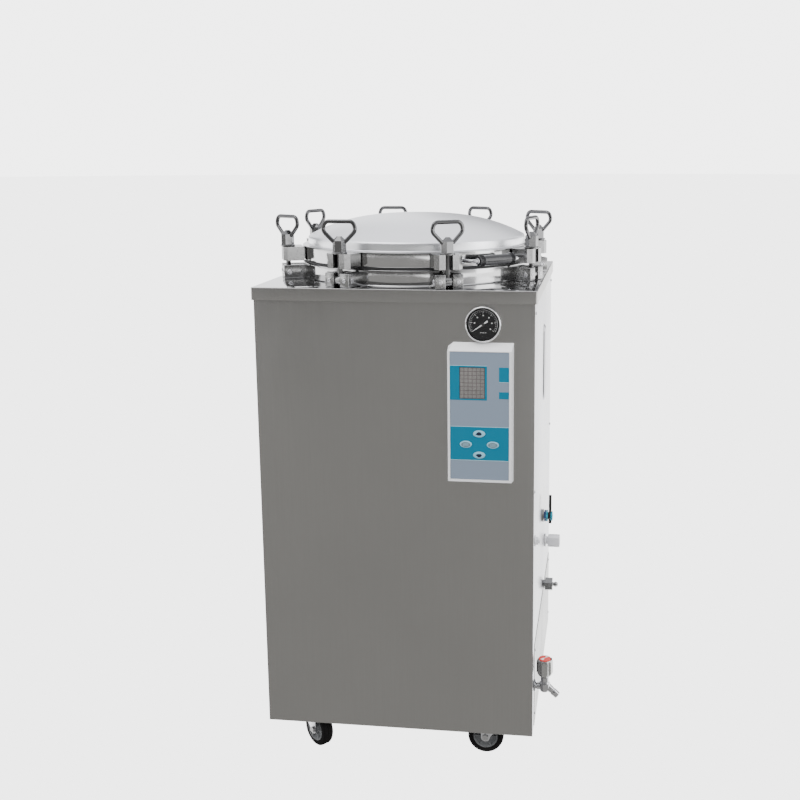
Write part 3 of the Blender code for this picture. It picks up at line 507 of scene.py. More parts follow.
window_cell = moulded(
    "window_cell", (0.22, 0.21, 0.2), 0.26, 300.0, 0.00001, 0.16, second=(0.15, 0.145, 0.14)
)
board_green = moulded("circuit_board", (0.02, 0.16, 0.07), 0.42)
dial_black = moulded("dial_black", (0.008, 0.008, 0.009), 0.42)
mark_white = moulded("mark_white", (0.86, 0.86, 0.86), 0.4)
teal_cap = moulded("teal_cap", (0.000, 0.3, 0.42), 0.24)
navy_cap = moulded("navy_cap", (0.01, 0.04, 0.14), 0.28)
knob_red = moulded("knob_red", (0.72, 0.045, 0.035), 0.3)


def clear_lens():
    """A thin clear sheet: only its gloss shows."""
    material = bpy.data.materials.new("gauge_lens")
    material.use_nodes = True
    tree = material.node_tree
    shader = tree.nodes["Principled BSDF"]
    shader.inputs["Base Color"].default_value = (0.01, 0.012, 0.012, 1.0)
    shader.inputs["Alpha"].default_value = 0.05
    smear = noise(tree, 40.0)
    tree.links.new(remap(tree, smear, 0.3, 0.7, 0.02, 0.06), shader.inputs["Roughness"])
    return material


glass = clear_lens()


# ---- Cabinet ----
def add_panels():
    inner = HALF - SHEET
    hole = moved(disc(0.0285, -0.02, 0.02, steps=64), on_front(GAUGE_X, GAUGE_DROP))
    front = carve(block((-HALF, -HALF, PANEL_LOW), (HALF, -inner, PANEL_HIGH), 0.0007, 3), hole)
    bm = add(bmesh.new(), front)
    fold_x, fold_y = 0.2735, -0.2742
    for x in (-fold_x, fold_x):
        low = (x - 0.0008, fold_y, PANEL_LOW + 0.002)
        add(bm, block(low, (x + 0.0008, -0.262, PANEL_HIGH - 0.002), 0.0004))
    add(bm, block((-0.27, fold_y, PANEL_LOW + 0.0002), (0.27, -0.2672, PANEL_LOW + 0.0017), 0.0004))
    piece("front_sheet", "cabinet", bm, [brushed], ["front_panel"], "brushed_panel")

    bm = bmesh.new()
    add(bm, block((-HALF, GAP - inner, PANEL_LOW), (-inner, inner - GAP, PANEL_HIGH), 0.0005))
    for y in (-0.255, 0.0, 0.255):
        for z in (0.085, 0.915):
            add(bm, screw(), move(-HALF, y, z) @ turn(-90, "Y"), 1)
    piece("left_sheet", "cabinet", bm, [brushed, zinc], ["left_side_panel"], "brushed_panel")

    bm = add(bmesh.new(), block((inner, GAP - inner, PANEL_LOW), (HALF, inner - GAP, PANEL_HIGH), 0.0005))
    add_louvre(bm)
    # The low field on the right side wears the darker steel copy: painted shade.
    field = rectangle(-0.238, PANEL_LOW - TOP + LOW_PANEL_DROP, 0.268, 0.0)
    field_at = on_side(0.0, LOW_PANEL_DROP)
    add(bm, prism(soften(field, 0.006, 4, True), 0.0, 0.001, 0.0004), field_at, 1)
    # A dark rubber strip along the field's top edge: a painted shadow line in the seam.
    add(bm, block((-0.2385, 0.0, 0.0), (0.2685, 0.0016, 0.0006), 0.0002), field_at, 2)
    for y in (-0.226, 0.256):
        for drop in (0.75, 0.89):
            add(bm, screw(0.003, 0.0018), on_side(y, drop, 0.0009), 3)
    for y in (-0.262, 0.262):
        for drop in (0.045, 0.4):
            add(bm, screw(), on_side(y, drop), 3)
    materials = [side_steel_painted_light, low_panel_painted_shade, rubber_and_painted_shade, zinc]
    piece("right_sheet", "cabinet", bm, materials, ["right_side_panel"], "side_panel")

    bm = add(bmesh.new(), block((-HALF, inner, PANEL_LOW), (HALF, HALF, PANEL_HIGH), 0.0007, 3))
    for x in (-0.262, 0.0, 0.262):
        for z in (0.08, 0.36, 0.64, 0.925):
            add(bm, screw(), on_back(-x, z), 1)
    for row in range(7):
        z = 0.7 + 0.018 * row
        for x in (-0.075, 0.075):
            outline = soften(rectangle(-0.055, -0.003, 0.055, 0.003), 0.003, 3, True)
            add(bm, prism(outline, -0.0002, 0.0032, 0.0012), on_back(x, z))
            shadow = block((-0.052, -0.0036, 0.0004), (0.052, -0.0028, 0.0026), 0.0002)
            add(bm, shadow, on_back(x, z), 2)
    piece("back_sheet", "cabinet", bm, [brushed, zinc, black_and_painted_shade], ["back_panel"], "brushed_panel")


def add_louvre(bm):
    """A tall pressed rib on the right side, with a dark strip along its front edge as painted shade in its
    slot.
    """
    length, width = 0.17, 0.026
    at = on_side(0.0, LOUVRE_DROP)
    rings = []
    levels = ((0.0, -0.0004), (-0.0006, 0.0012), (-0.003, 0.0032), (-0.007, 0.0046), (-0.012, 0.005))
    for grow, lift in levels:
        half_width, half_length = width / 2 + grow, length / 2 + grow
        ring = []
        for end in (1, -1):
            for i in range(13):
                angle = end * math.pi / 2 - math.pi / 2 + math.pi * i / 12
                x = math.cos(angle) * half_width
                y = end * (half_length - half_width) + math.sin(angle) * half_width
                ring.append((x, y, lift))
        rings.append(ring)
    add(bm, loft(rings), at)
    # A dark rubber strip along the rib's front edge: painted shade in the slot.
    add(bm, block((-0.0128, -0.07, 0.0006), (-0.0112, 0.07, 0.0019), 0.0003), at, 2)


def add_cover():
    half = 0.28
    bm = bmesh.new()
    bmesh.ops.create_cube(bm, size=1.0)
    size = Matrix.Diagonal((2 * half, 2 * half, 0.025, 1.0))
    moved(bm, move(0, 0, TOP - 0.0125) @ size)
    upright = [e for e in bm.edges if abs(e.verts[0].co.z - e.verts[1].co.z) > 0.01]
    bmesh.ops.bevel(bm, geom=upright, offset=0.004, segments=5, affect="EDGES", profile=0.5)
    above = []
    for edge in bm.edges:
        on_top = min(v.co.z for v in edge.verts) > TOP - 0.0001
        if on_top and len(edge.link_faces) == 2 and edge.calc_face_angle(0) > 1.0:
            above.append(edge)
    bmesh.ops.bevel(bm, geom=above, offset=0.0016, segments=3, affect="EDGES", profile=0.5)
    inner = half - 0.002
    hollow = block((-inner, -inner, TOP - 0.035), (inner, inner, TOP - 0.002), 0.0)
    mouth = disc(CHAMBER + 0.0033, TOP - 0.05, TOP + 0.05, steps=96)
    cover = add(bmesh.new(), carve(bm, hollow, mouth))
    for face in cover.faces:
        face.material_index = 0 if face.normal.z > 0.9 else 1
    piece("cover_sheet", "cabinet", cover, [mirror, brushed], ["top_cover"], "polished_steel")


# ---- Chamber ----
def add_vessel():
    outer = CHAMBER + WALL
    low, high = TOP + GAP, TOP + COLLAR_RISE
    profile = [
        (0.0, FLOOR - WALL), (outer - 0.02, FLOOR - WALL), (outer, FLOOR + 0.017), (outer, low), (RIM, low),
        (RIM, high), (CHAMBER, high), (CHAMBER, FLOOR + 0.018), (CHAMBER - 0.018, FLOOR), (0.0, FLOOR),
    ]
    bm = add(bmesh.new(), turned(soften(profile, 0.0016, 3), 144))
    weld = [(-0.001, 0.0), (0.003, 0.0), (0.0012, 0.0012), (-0.001, 0.0034)]
    add(bm, turned([(RIM + r, low + z) for r, z in weld], 144))
    for face in bm.faces:
        centre = face.calc_center_median()
        if centre.xy.length < CHAMBER + 0.001 and centre.z < TOP + 0.03:
            face.material_index = 2
    for number in range(1, 9):
        at = turn(clamp_heading(number)) @ move(BOLT_CIRCLE, 0, 0)
        for side in (-1, 1):
            near, far = sorted((side * 0.0072, side * 0.028))
            cheek = block((-0.04, near, TOP + 2 * GAP), (0.012, far, TOP + 0.028), 0.0014, 3)
            add(bm, cheek, at, 1)
            end = at @ move(0.012, side * 0.018, TOP + PIVOT) @ turn(90, "Y")
            add(bm, screw(0.0042, 0.0014), end, 3)
            end = at @ move(0, side * 0.028, TOP + PIVOT) @ turn(-side * 90, "X")
            add(bm, screw(0.005, 0.002), end, 3)
        pin = disc(0.005, -0.012, 0.012, 0.0004, 20)
        add(bm, pin, at @ move(0, 0, TOP + PIVOT) @ turn(90, "X"), 3)
    materials = [polished, cast, inner_steel, zinc]
    piece("chamber", "cabinet", bm, materials, ["chamber_vessel"], "polished_steel")

    gasket = washer(0.204, 0.2438, high + GAP, TOP + LID_RISE - GAP, 0.0012, 144)
    piece("gasket", "cabinet", add(bmesh.new(), gasket), [rubber_and_painted_shade], ["lid_gasket"], "seal_rubber")

    bm = bmesh.new()
    end, steps = 12, 72                     # the loop stops this many degrees from X, for its two legs
    loop = [polar(ELEMENT, end + (360 - 2 * end) * i / steps, FLOOR + 0.022) for i in range(steps + 1)]
    add(bm, tube(loop, 0.0055, 14))
    for angle in (end, -end):
        leg = [polar(ELEMENT, angle, FLOOR + 0.024), polar(ELEMENT, angle, FLOOR + 0.001)]
        add(bm, tube(leg, 0.0058, 14))
        add(bm, hexagon(0.0125, FLOOR + 0.0005, FLOOR + 0.008), move(*polar(ELEMENT, angle)), 1)
    for angle in (90, 180, 270):
        rest = block((-0.006, -0.0015, 0.0), (0.006, 0.0015, 0.0155))
        add(bm, rest, move(*polar(ELEMENT, angle, FLOOR + 0.0005)), 1)
    piece("element", "cabinet", bm, [heater, cast], ["heating_element"], "heater_sheath")


def perforated(columns, rows, width, height, hole, bend):
    """A sheet of square cells, each with a round hole. bend places a point of the flat sheet."""
    bm = bmesh.new()
    shared = {}

    def vertex(u, v):
        key = (round(u * 1e6), round(v * 1e6))
        if key not in shared:
            shared[key] = bm.verts.new(bend(u, v))
        return shared[key]

    cell_u, cell_v = width / columns, height / rows
    for i in range(columns):
        for j in range(rows):
            centre_u, centre_v = (i + 0.5) * cell_u, (j + 0.5) * cell_v
            square, ring = [], []
            for k in range(8):
                angle = math.radians(45 * k)
                reach = 1 / max(abs(math.cos(angle)), abs(math.sin(angle)))
                u = centre_u + 0.5 * cell_u * reach * math.cos(angle)
                v = centre_v + 0.5 * cell_v * reach * math.sin(angle)
                square.append(vertex(u % width if abs(u - width) < 1e-9 else u, v))
                ring.append(vertex(centre_u + hole * math.cos(angle), centre_v + hole * math.sin(angle)))
            for k in range(8):
                m = (k + 1) % 8
                bm.faces.new((square[k], square[m], ring[m], ring[k]))
    return bm


def thicken(bm, thickness):
    bmesh.ops.recalc_face_normals(bm, faces=bm.faces)
    bmesh.ops.solidify(bm, geom=bm.faces, thickness=thickness)
    return bm


def add_basket():
    low, high = (corner.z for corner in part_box("sterilising_basket"))
    radius, base = 0.186, 0.26
    length = 2 * math.pi * radius

    def wrap(u, v):
        angle = u / radius
        return Vector((radius * math.cos(angle), radius * math.sin(angle), low + 0.012 + v))

    bm = add(bmesh.new(), thicken(perforated(72, 22, length, high - low - 0.03, 0.0052, wrap), 0.0012))

    def spread(u, v):
        return Vector((u - base / 2, v - base / 2, low + 0.0014))

    add(bm, thicken(perforated(14, 14, base, base, 0.0056, spread), 0.0012))
    foot_ring = [
        (0.179, 0.0), (0.1858, 0.0), (0.1872, 0.015), (0.1852, 0.015), (0.184, 0.0026), (0.179, 0.0026),
    ]
    for section in (foot_ring, rectangle(0.128, 0.0004, 0.18, 0.0024)):
        add(bm, turned([(r, low + z) for r, z in section], 96))
    top_ring = soften([
        (0.1846, -0.022), (0.1872, -0.022), (0.1872, -0.007), (0.19, -0.006), (0.19, 0.0), (0.1846, 0.0),
    ], 0.001, 2, True)
    add(bm, turned([(r, high + z) for r, z in top_ring], 96))
    handle = soften([
        (0.1835, -0.045, high - 0.034), (0.1795, -0.045, high - 0.004), (0.1795, 0.045, high - 0.004),
        (0.1835, 0.045, high - 0.034),
    ], 0.012, 5)
    for heading in (0, 180):
        add(bm, tube(handle, 0.0026, 10), turn(heading))
    piece("basket", "basket", bm, [inner_steel], ["sterilising_basket"], "mesh_steel", 40)


def add_support_plate():
    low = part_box("support_plate")[0].z
    outline = [polar(CHAMBER - 0.004, 360 * i / 120) for i in range(120)]
    blank = prism(outline, low, low + 0.003, 0.0005, 2, 60)
    holes = []
    for index in range(6):
        centre = polar(ELEMENT, math.degrees(0.1) + 60 * index)
        holes.append(moved(disc(0.012, low - 0.02, low + 0.02), move(*centre)))
    bm = add(bmesh.new(), carve(blank, *holes))
    for angle in (30, 150, 270):
        add(bm, tube([polar(0.165, angle, FLOOR + 0.0005), polar(0.165, angle, low + 0.001)], 0.005, 16))
    piece("basket_rest", "cabinet", bm, [inner_steel], ["support_plate"], "mesh_steel")


# ---- Lid ----
def add_lid():
    low, high, apex = TOP + LID_RISE, TOP + RIM_RISE, TOP + APEX_RISE
    inside, dome = 0.206, 0.2325

    def dome_profile(radius, low_z, top_z, steps):
        """A short straight wall, a knuckle, then a shallow crown."""
        wall, knuckle = 0.012, 0.006
        made = [(radius, low_z), (radius, low_z + wall)]
        for i in range(1, 4):
            bend = math.radians(22.5 * i)
            made.append((radius - knuckle * (1 - math.cos(bend)), low_z + wall + knuckle * math.sin(bend)))
        edge, shoulder = made[-1]
        for i in range(1, steps + 1):
            part = math.cos(math.pi / 2 * i / steps)
            made.append((edge * part, top_z - (top_z - shoulder) * part ** 2.7))
        made[-1] = (0.0, top_z)
        return made

    outer = dome_profile(dome, high + 0.0015, apex, 28)
    inner = dome_profile(inside, high - 0.002, apex - 0.003, 16)
    rim = soften([
        (inside, high - 0.002), (inside, low), (RIM, low), (RIM, high), (dome + 0.002, high),
        (dome, high + 0.0015),
    ], 0.0022, 4)
    profile = inner[::-1] + [tuple(p) for p in rim[1:-1]] + outer
    bm = add(bmesh.new(), turned(profile, 160))
    bm.faces.ensure_lookup_table()
    for face in bm.faces:
        centre = face.calc_center_median()
        if centre.xy.length > dome + 0.001:
            face.material_index = 1
        elif face.normal.z < 0 or centre.z < high:
            face.material_index = 2
    piece("lid", "lid", bm, [satin, polished, inner_steel], ["lid_shell"], "dome_satin", 30)

    add_hinge()
    add_lid_handle()


def add_hinge():
    at = move(*polar(HINGE_REACH, HINGE_HEADING, TOP + HINGE_RISE)) @ turn(HINGE_HEADING) @ turn(90, "X")
    bm = add(bmesh.new(), washer(0.0063, 0.013, -0.031, 0.031, 0.001, 40, 3), at)
    inner_end = RIM + GAP - HINGE_REACH
    web = [
        (inner_end, -0.026), (-0.0085, -0.009), (-0.0085, 0.008), (inner_end + 0.02, 0.0015),
        (inner_end, -0.006),
    ]
    add(bm, prism(web, -0.027, 0.027, 0.0014, 3), at)
    pad = block((inner_end - 0.0002, -0.0285, -0.03), (inner_end + 0.006, -0.0035, 0.03), 0.0015, 3)
    add(bm, pad, at)
    for lift in (-0.02, 0.02):
        add(bm, screw(0.0045, 0.003), at @ move(inner_end + 0.006, -0.023, lift) @ turn(90, "Y"), 1)
    piece("hinge_arm", "lid", bm, [cast, zinc], ["lid_hinge_arm"], "cast_steel")

    base = move(*polar(HINGE_REACH, HINGE_HEADING)) @ turn(HINGE_HEADING)
    bm = add(bmesh.new(), block((-0.028, -0.044, TOP + GAP), (0.02, 0.044, TOP + 0.006), 0.0012, 3), base)
    outline = [(0.018, -0.066), *arc(0.014, 0, 180, 16), (-0.024, -0.066)]
    for near, far in ((-0.042, -0.0317), (0.0317, 0.042)):
        ear = prism(outline, near, far, 0.001, 2, 50)
        add(bm, carve(ear, disc(0.0063, -0.1, 0.1)), at)
    for x, y in ((-0.021, -0.02), (-0.021, 0.02), (0.013, -0.02), (0.013, 0.02)):
        add(bm, hexagon(0.005, TOP + 0.0055, TOP + 0.0095), base @ move(x, y, 0), 1)
    piece("hinge_bracket", "cabinet", bm, [cast, zinc], ["lid_hinge_bracket"], "cast_steel")

    bm = add(bmesh.new(), disc(0.006, -0.047, 0.047, 0.0008), at)
    for end in (-1, 1):
        head = [(0.0, 0.0), (0.0095, 0.0), (0.0095, 0.0022), (0.006, 0.0042), (0.0, 0.0046)]
        flip = turn(180, "X") if end < 0 else IDENTITY
        add(bm, turned(soften(head, 0.0008), 32), at @ move(0, 0, end * 0.0424) @ flip)
    piece("hinge_pin", "cabinet", bm, [chrome_painted_dark], ["lid_hinge_pin"], "polished_steel")


def add_lid_handle():
    wire, radius, foot_y, rise = 0.004, 0.272, 0.06, TOP + 0.05
    at = turn(-45)
    foot_x = math.sqrt(RIM ** 2 - (foot_y - wire) ** 2) + GAP
    corners = [
        (foot_x, -foot_y, rise), (radius, -foot_y, rise), (radius, foot_y, rise), (foot_x, foot_y, rise),
    ]
    bm = add(bmesh.new(), tube(soften(corners, 0.013, 8), wire, 16), at)
    for side in (-1, 1):
        boss = stud(0.0085, 0.0, 0.003, 0.0045, 0.0058, 0.001, 28)
        lie = move(foot_x - 0.0006, side * foot_y, rise) @ turn(90, "Y")
        add(bm, boss, at @ lie)
        collar = disc(0.006, -0.002, 0.002, 0.0006, 24)
        add(bm, collar, at @ move(radius, side * 0.0462, rise) @ turn(90, "X"))
    piece("handle_rod", "lid", bm, [tap_chrome], ["lid_handle_bail"], "polished_steel")

    bore, end_radius, swell, reach = 0.0046, 0.0092, 0.0013, 0.044
    section = [(bore, -reach)]
    for i in range(25):
        t = -1 + 2 * i / 24
        bulge = swell * math.cos(t * math.pi / 2) ** 0.5 if abs(t) < 1 else 0.0
        section.append((end_radius + bulge, t * reach))
    section.append((bore, reach))
    bm = add(bmesh.new(), turned(section, 40), at @ move(radius, 0, rise) @ turn(90, "X"))
    ridge = [(0.0085, -0.0005), (0.0108, -0.0005), (0.011, 0.0), (0.0108, 0.0005), (0.0085, 0.0005)]
    for side in (-1, 1):
        for ring in range(3):
            y = side * (0.034 + 0.003 * ring)
            add(bm, turned(ridge, 40), at @ move(radius, y, rise) @ turn(90, "X"))
    piece("handle_grip", "lid", bm, [black], ["lid_handle_grip"], "black_plastic")


# ---- Clamps ----
def swing_bolt_mesh():
    bm = bmesh.new()
    eye = soften([(0.0053, -0.0064), (0.0098, -0.0064), (0.0098, 0.0064), (0.0053, 0.0064)], 0.0008, 3, True)
    add(bm, turned(eye, 32), turn(90, "X"))
    pitch, radius = 0.00125, 0.0055
    low, high = 0.0074, 0.0785
    profile = [(0.0, low), (0.0048, low)]
    z = low + 0.001
    while z < 0.056:
        profile += [(radius, z), (radius - 0.00075, z + pitch / 2)]
        z += pitch
    profile += [(radius, z), (radius, high - 0.001), (radius - 0.001, high), (0.0, high)]
    add(bm, turned(profile, 24), material=1)
    low, high = 0.037 - PIVOT, 0.0657 - PIVOT
    outer, half, chamfer, slot = 0.012, 0.028, 0.0085, 0.0072
    outline = [(-0.0303, -half), (outer - chamfer, -half), (outer, -half + chamfer), (outer, -slot)]
    outline += arc(slot, 270, 90, 14)
    outline += [(outer, slot), (outer, half - chamfer), (outer - chamfer, half), (-0.0303, half)]
    add(bm, prism(outline, low, high, 0.0011, 3, 32), material=2)
    seat = washer(0.0062, 0.0125, 0.0, 0.001, 0.0003, 40, 2)
    add(bm, seat, move(0, 0, high - 0.0008), 1)
    return mesh_of(bm, [cast, threaded, cast_bright])


def ring_nut_mesh():
    low, high, tip = 0.0662 - PIVOT, 0.0905 - PIVOT, 0.099 - PIVOT
    bm = bmesh.new()
    levels = ((1.0, low), (1.0, high), (0.34, tip))
    nut = loft([[polar(0.0135 * scale, 60 * i, z) for i in range(6)] for scale, z in levels])
    add(bm, round_edges(nut, 0.0008, 3, 15))
    base = stud(0.015, low - 0.0001, low + 0.0022, 0.0128, low + 0.0032, 0.0005, 48)
    add(bm, base)
    wire = 0.0041
    foot, middle, top = 0.085 - PIVOT, 0.11 - PIVOT, 0.1315 - PIVOT - wire
    corners = [
        (-0.0085, 0, foot), (0.0085, 0, foot), (0.0331, 0, middle), (0.0275, 0, top), (-0.0275, 0, top),
        (-0.0331, 0, middle),
    ]
    add(bm, tube(soften(corners, 0.0125, 8, True), wire, 16, True), material=1)
    return mesh_of(bm, [nut_steel_painted_dark, chrome_painted_dark], 30)


def add_clamps():
    bolt, nut = swing_bolt_mesh(), ring_nut_mesh()
    for number in range(1, 9):
        heading = clamp_heading(number)
        pivot = move(*polar(BOLT_CIRCLE, heading, TOP + PIVOT))
        node, at = f"swing_bolt_{number}", pivot @ turn(heading)
        show(f"bolt_{number}", f"clamp_{number}", bolt, [node], at)
        node, at = f"ring_nut_{number}", pivot @ turn(RING_HEADINGS[number - 1])
        show(f"nut_{number}", f"clamp_nut_{number}", nut, [node], at)


# ---- Castors ----
def castor_fork_mesh():
    drop = WHEEL - CASTOR_TOP
    half = 0.0163                           # half the fork's width
    bm = bmesh.new()
    head = [
        (0.0, -0.0105), (0.0195, -0.0105), (0.0215, -0.0085), (0.0225, -0.0045), (0.0215, -0.0008),
        (0.0, -0.0008),
    ]
    add(bm, turned(soften(head, 0.001), 40))
    add(bm, disc(0.006, -0.015, -0.0105, 0.0008, 24))
    add(bm, block((-0.0195, -0.016, -0.012), (0.0335, 0.016, -0.0086), 0.001))
    for side in (-1, 1):
        near, far = sorted((side * (half - 0.0026), side * half))
        outline = [(TRAIL + x, drop + z) for x, z in arc(0.0092, 180, 360, 12)]
        outline += [(0.0338, -0.028), (0.0338, -0.0092), (-0.0195, -0.0092), (-0.015, -0.02)]
        add(bm, prism(outline, -far, -near, 0.0007, 2, 25), turn(90, "X"))
        nut = hexagon(0.0068, 0.0, 0.003)
        add(bm, nut, move(TRAIL, side * half, drop) @ turn(-side * 90, "X"), 1)
    add(bm, disc(0.004, -0.0155, 0.0155, steps=20), move(TRAIL, 0, drop) @ turn(90, "X"), 1)
    return mesh_of(bm, [zinc, threaded])


def castor_wheel_mesh():
    half, shoulder, groove = 0.012, 0.006, WHEEL - 0.0008
    bm = bmesh.new()
    tread = [(0.0255, -half), (WHEEL - shoulder, -half)]
    tread += [(WHEEL - shoulder + r, shoulder - half + z) for r, z in arc(shoulder, -60, 0, 2)]
    tread += [(WHEEL, -0.0035), (groove, -0.003), (groove, -0.0022), (WHEEL, -0.0017)]
    tread += [(r, -z) for r, z in reversed(tread)]
    add(bm, turned(tread, 72))
    hub = [
        (0.0043, -half), (0.0095, -half), (0.0105, 0.0012 - half), (0.0115, 0.004 - half),
        (0.0205, 0.0046 - half), (0.0225, 0.0012 - half), (0.0235, 0.0002 - half), (0.0258, 0.0003 - half),
    ]
    hub += [(r, -z) for r, z in reversed(hub)]
    add(bm, turned(hub, 60), material=1)
    for spoke in range(6):
        rib = block((0.01, -0.0011, -half + 0.0008), (0.0228, 0.0011, half - 0.0008), 0.0004)
        add(bm, rib, turn(60 * spoke), 1)
    return mesh_of(bm, [tyre, hub_grey], 40)


def add_castors():
    fork, wheel = castor_fork_mesh(), castor_wheel_mesh()
    for number, ((sx, sy), heading) in enumerate(zip(CASTOR_CORNERS, CASTOR_HEADINGS), start=1):
        swivel = move(sx * CASTOR_X, sy * CASTOR_Y, CASTOR_TOP) @ turn(heading)
        node = f"castor_fork_{number}"
        show(f"fork_{number}", f"castor_{number}", fork, [node], swivel)
        axle = swivel @ move(TRAIL, 0, WHEEL - CASTOR_TOP) @ turn(90, "X")
        node = f"castor_wheel_{number}"
        show(f"wheel_{number}", f"castor_tyre_{number}", wheel, [node], axle)


# ---- Gauge ----
def add_gauge():
    at = on_front(GAUGE_X, GAUGE_DROP)
    bm = bmesh.new()
    profile = [
        (0.0, -0.03), (0.028, -0.03), (0.028, GAP), (0.0342, GAP), (0.035, 0.002), (0.035, 0.0092),
        (0.0344, 0.0114), (0.0332, 0.0125), (0.0322, 0.0122), (0.0316, 0.011), (0.0315, 0.003), (0.0, 0.003),
    ]
    add(bm, turned(soften(profile, 0.0007, 3), 96), at)
    piece("gauge_bezel", "cabinet", bm, [gauge_chrome], ["gauge_case"], "polished_steel")

    bm = add(bmesh.new(), disc(0.0309, 0.0033, 0.0043, 0.0002, 80), at)
    for step in range(31):
        inner, half = (0.0212, 0.00032) if step % 5 == 0 else (0.0232, 0.00018)
        tick = block((inner, -half, 0.0043), (0.0256, half, 0.0047), 0.0)
        add(bm, tick, at @ turn(DIAL_START - DIAL_SWEEP * step / 30), 1)
    for step in range(0, 31, 5):
        spot = polar(0.0168, DIAL_START - DIAL_SWEEP * step / 30)
        add(bm, disc(0.0013, 0.0042, 0.0047, steps=16), at @ move(*spot), 1)
    band = [polar(0.0274, DIAL_START - DIAL_SWEEP * i / 60, 0.0044) for i in range(61)]
    add(bm, tube(band, 0.00022, 6), at, 1)
    for x in (-0.0045, 0.0, 0.0045):
        mark = block((x - 0.0016, -0.0172, 0.0043), (x + 0.0016, -0.0164, 0.0046), 0.0)
        add(bm, mark, at, 1)
    piece("dial", "cabinet", bm, [dial_black, mark_white], ["gauge_dial"], "dial_black")

    lens = disc(0.0309, 0.0095, 0.011, 0.0003, 80)
    piece("lens", "cabinet", add(bmesh.new(), lens, at), [glass], ["gauge_glass"], "gauge_lens")

    bm = bmesh.new()
    spin = at @ turn(DIAL_START)
    add(bm, stud(0.003, 0.0048, 0.008, 0.0018, 0.0086, 0.0005, 28), spin, 1)
    edge = [(-0.0105, -0.0017), (-0.004, -0.0011), (0.0, -0.0014), (0.0235, -0.0003)]
    outline = edge + [(0.0242, 0.0)] + [(x, -y) for x, y in reversed(edge)]
    add(bm, prism(outline, 0.0062, 0.007, 0.0001, 1), spin)
    piece("needle", "needle", bm, [mark_white, chrome_painted_dark], ["gauge_needle"], "needle_white")


# ---- Control panel ----
LEFT, RIGHT, FACE_TOP, FACE_BOTTOM = 0.1088, 0.2325, 0.115, 0.374  # its face: two x, two drops
PROUD = 0.015
BEZEL, BEZEL_TOP = 0.0045, 0.0015
WINDOW = (0.1319, 0.1814, 0.1466, 0.2086)                          # its opening, in the same order
KEYS = {
    "key_up": (0.17, 0.2775), "key_down": (0.17, 0.32), "key_left": (0.144, 0.299),
    "key_right": (0.1965, 0.299),
}
KEY_X, KEY_Y = 0.0118, 0.007                                       # a key's half sizes


def plate(left, right, drop_low, drop_high, low, high, rounding=0.0001):
    """A thin plate between two drops below the cover's top, standing on the front."""
    return block((left, -drop_high, low), (right, -drop_low, high), rounding, 1)


def key_holes():
    """Tools that cut the keys' openings, a little larger than the keys."""
    play = 0.0005
    hole = oval(KEY_X + play, KEY_Y + play)
    return [moved(prism(hole, -0.01, 0.03), move(x, -drop, 0)) for x, drop in KEYS.values()]


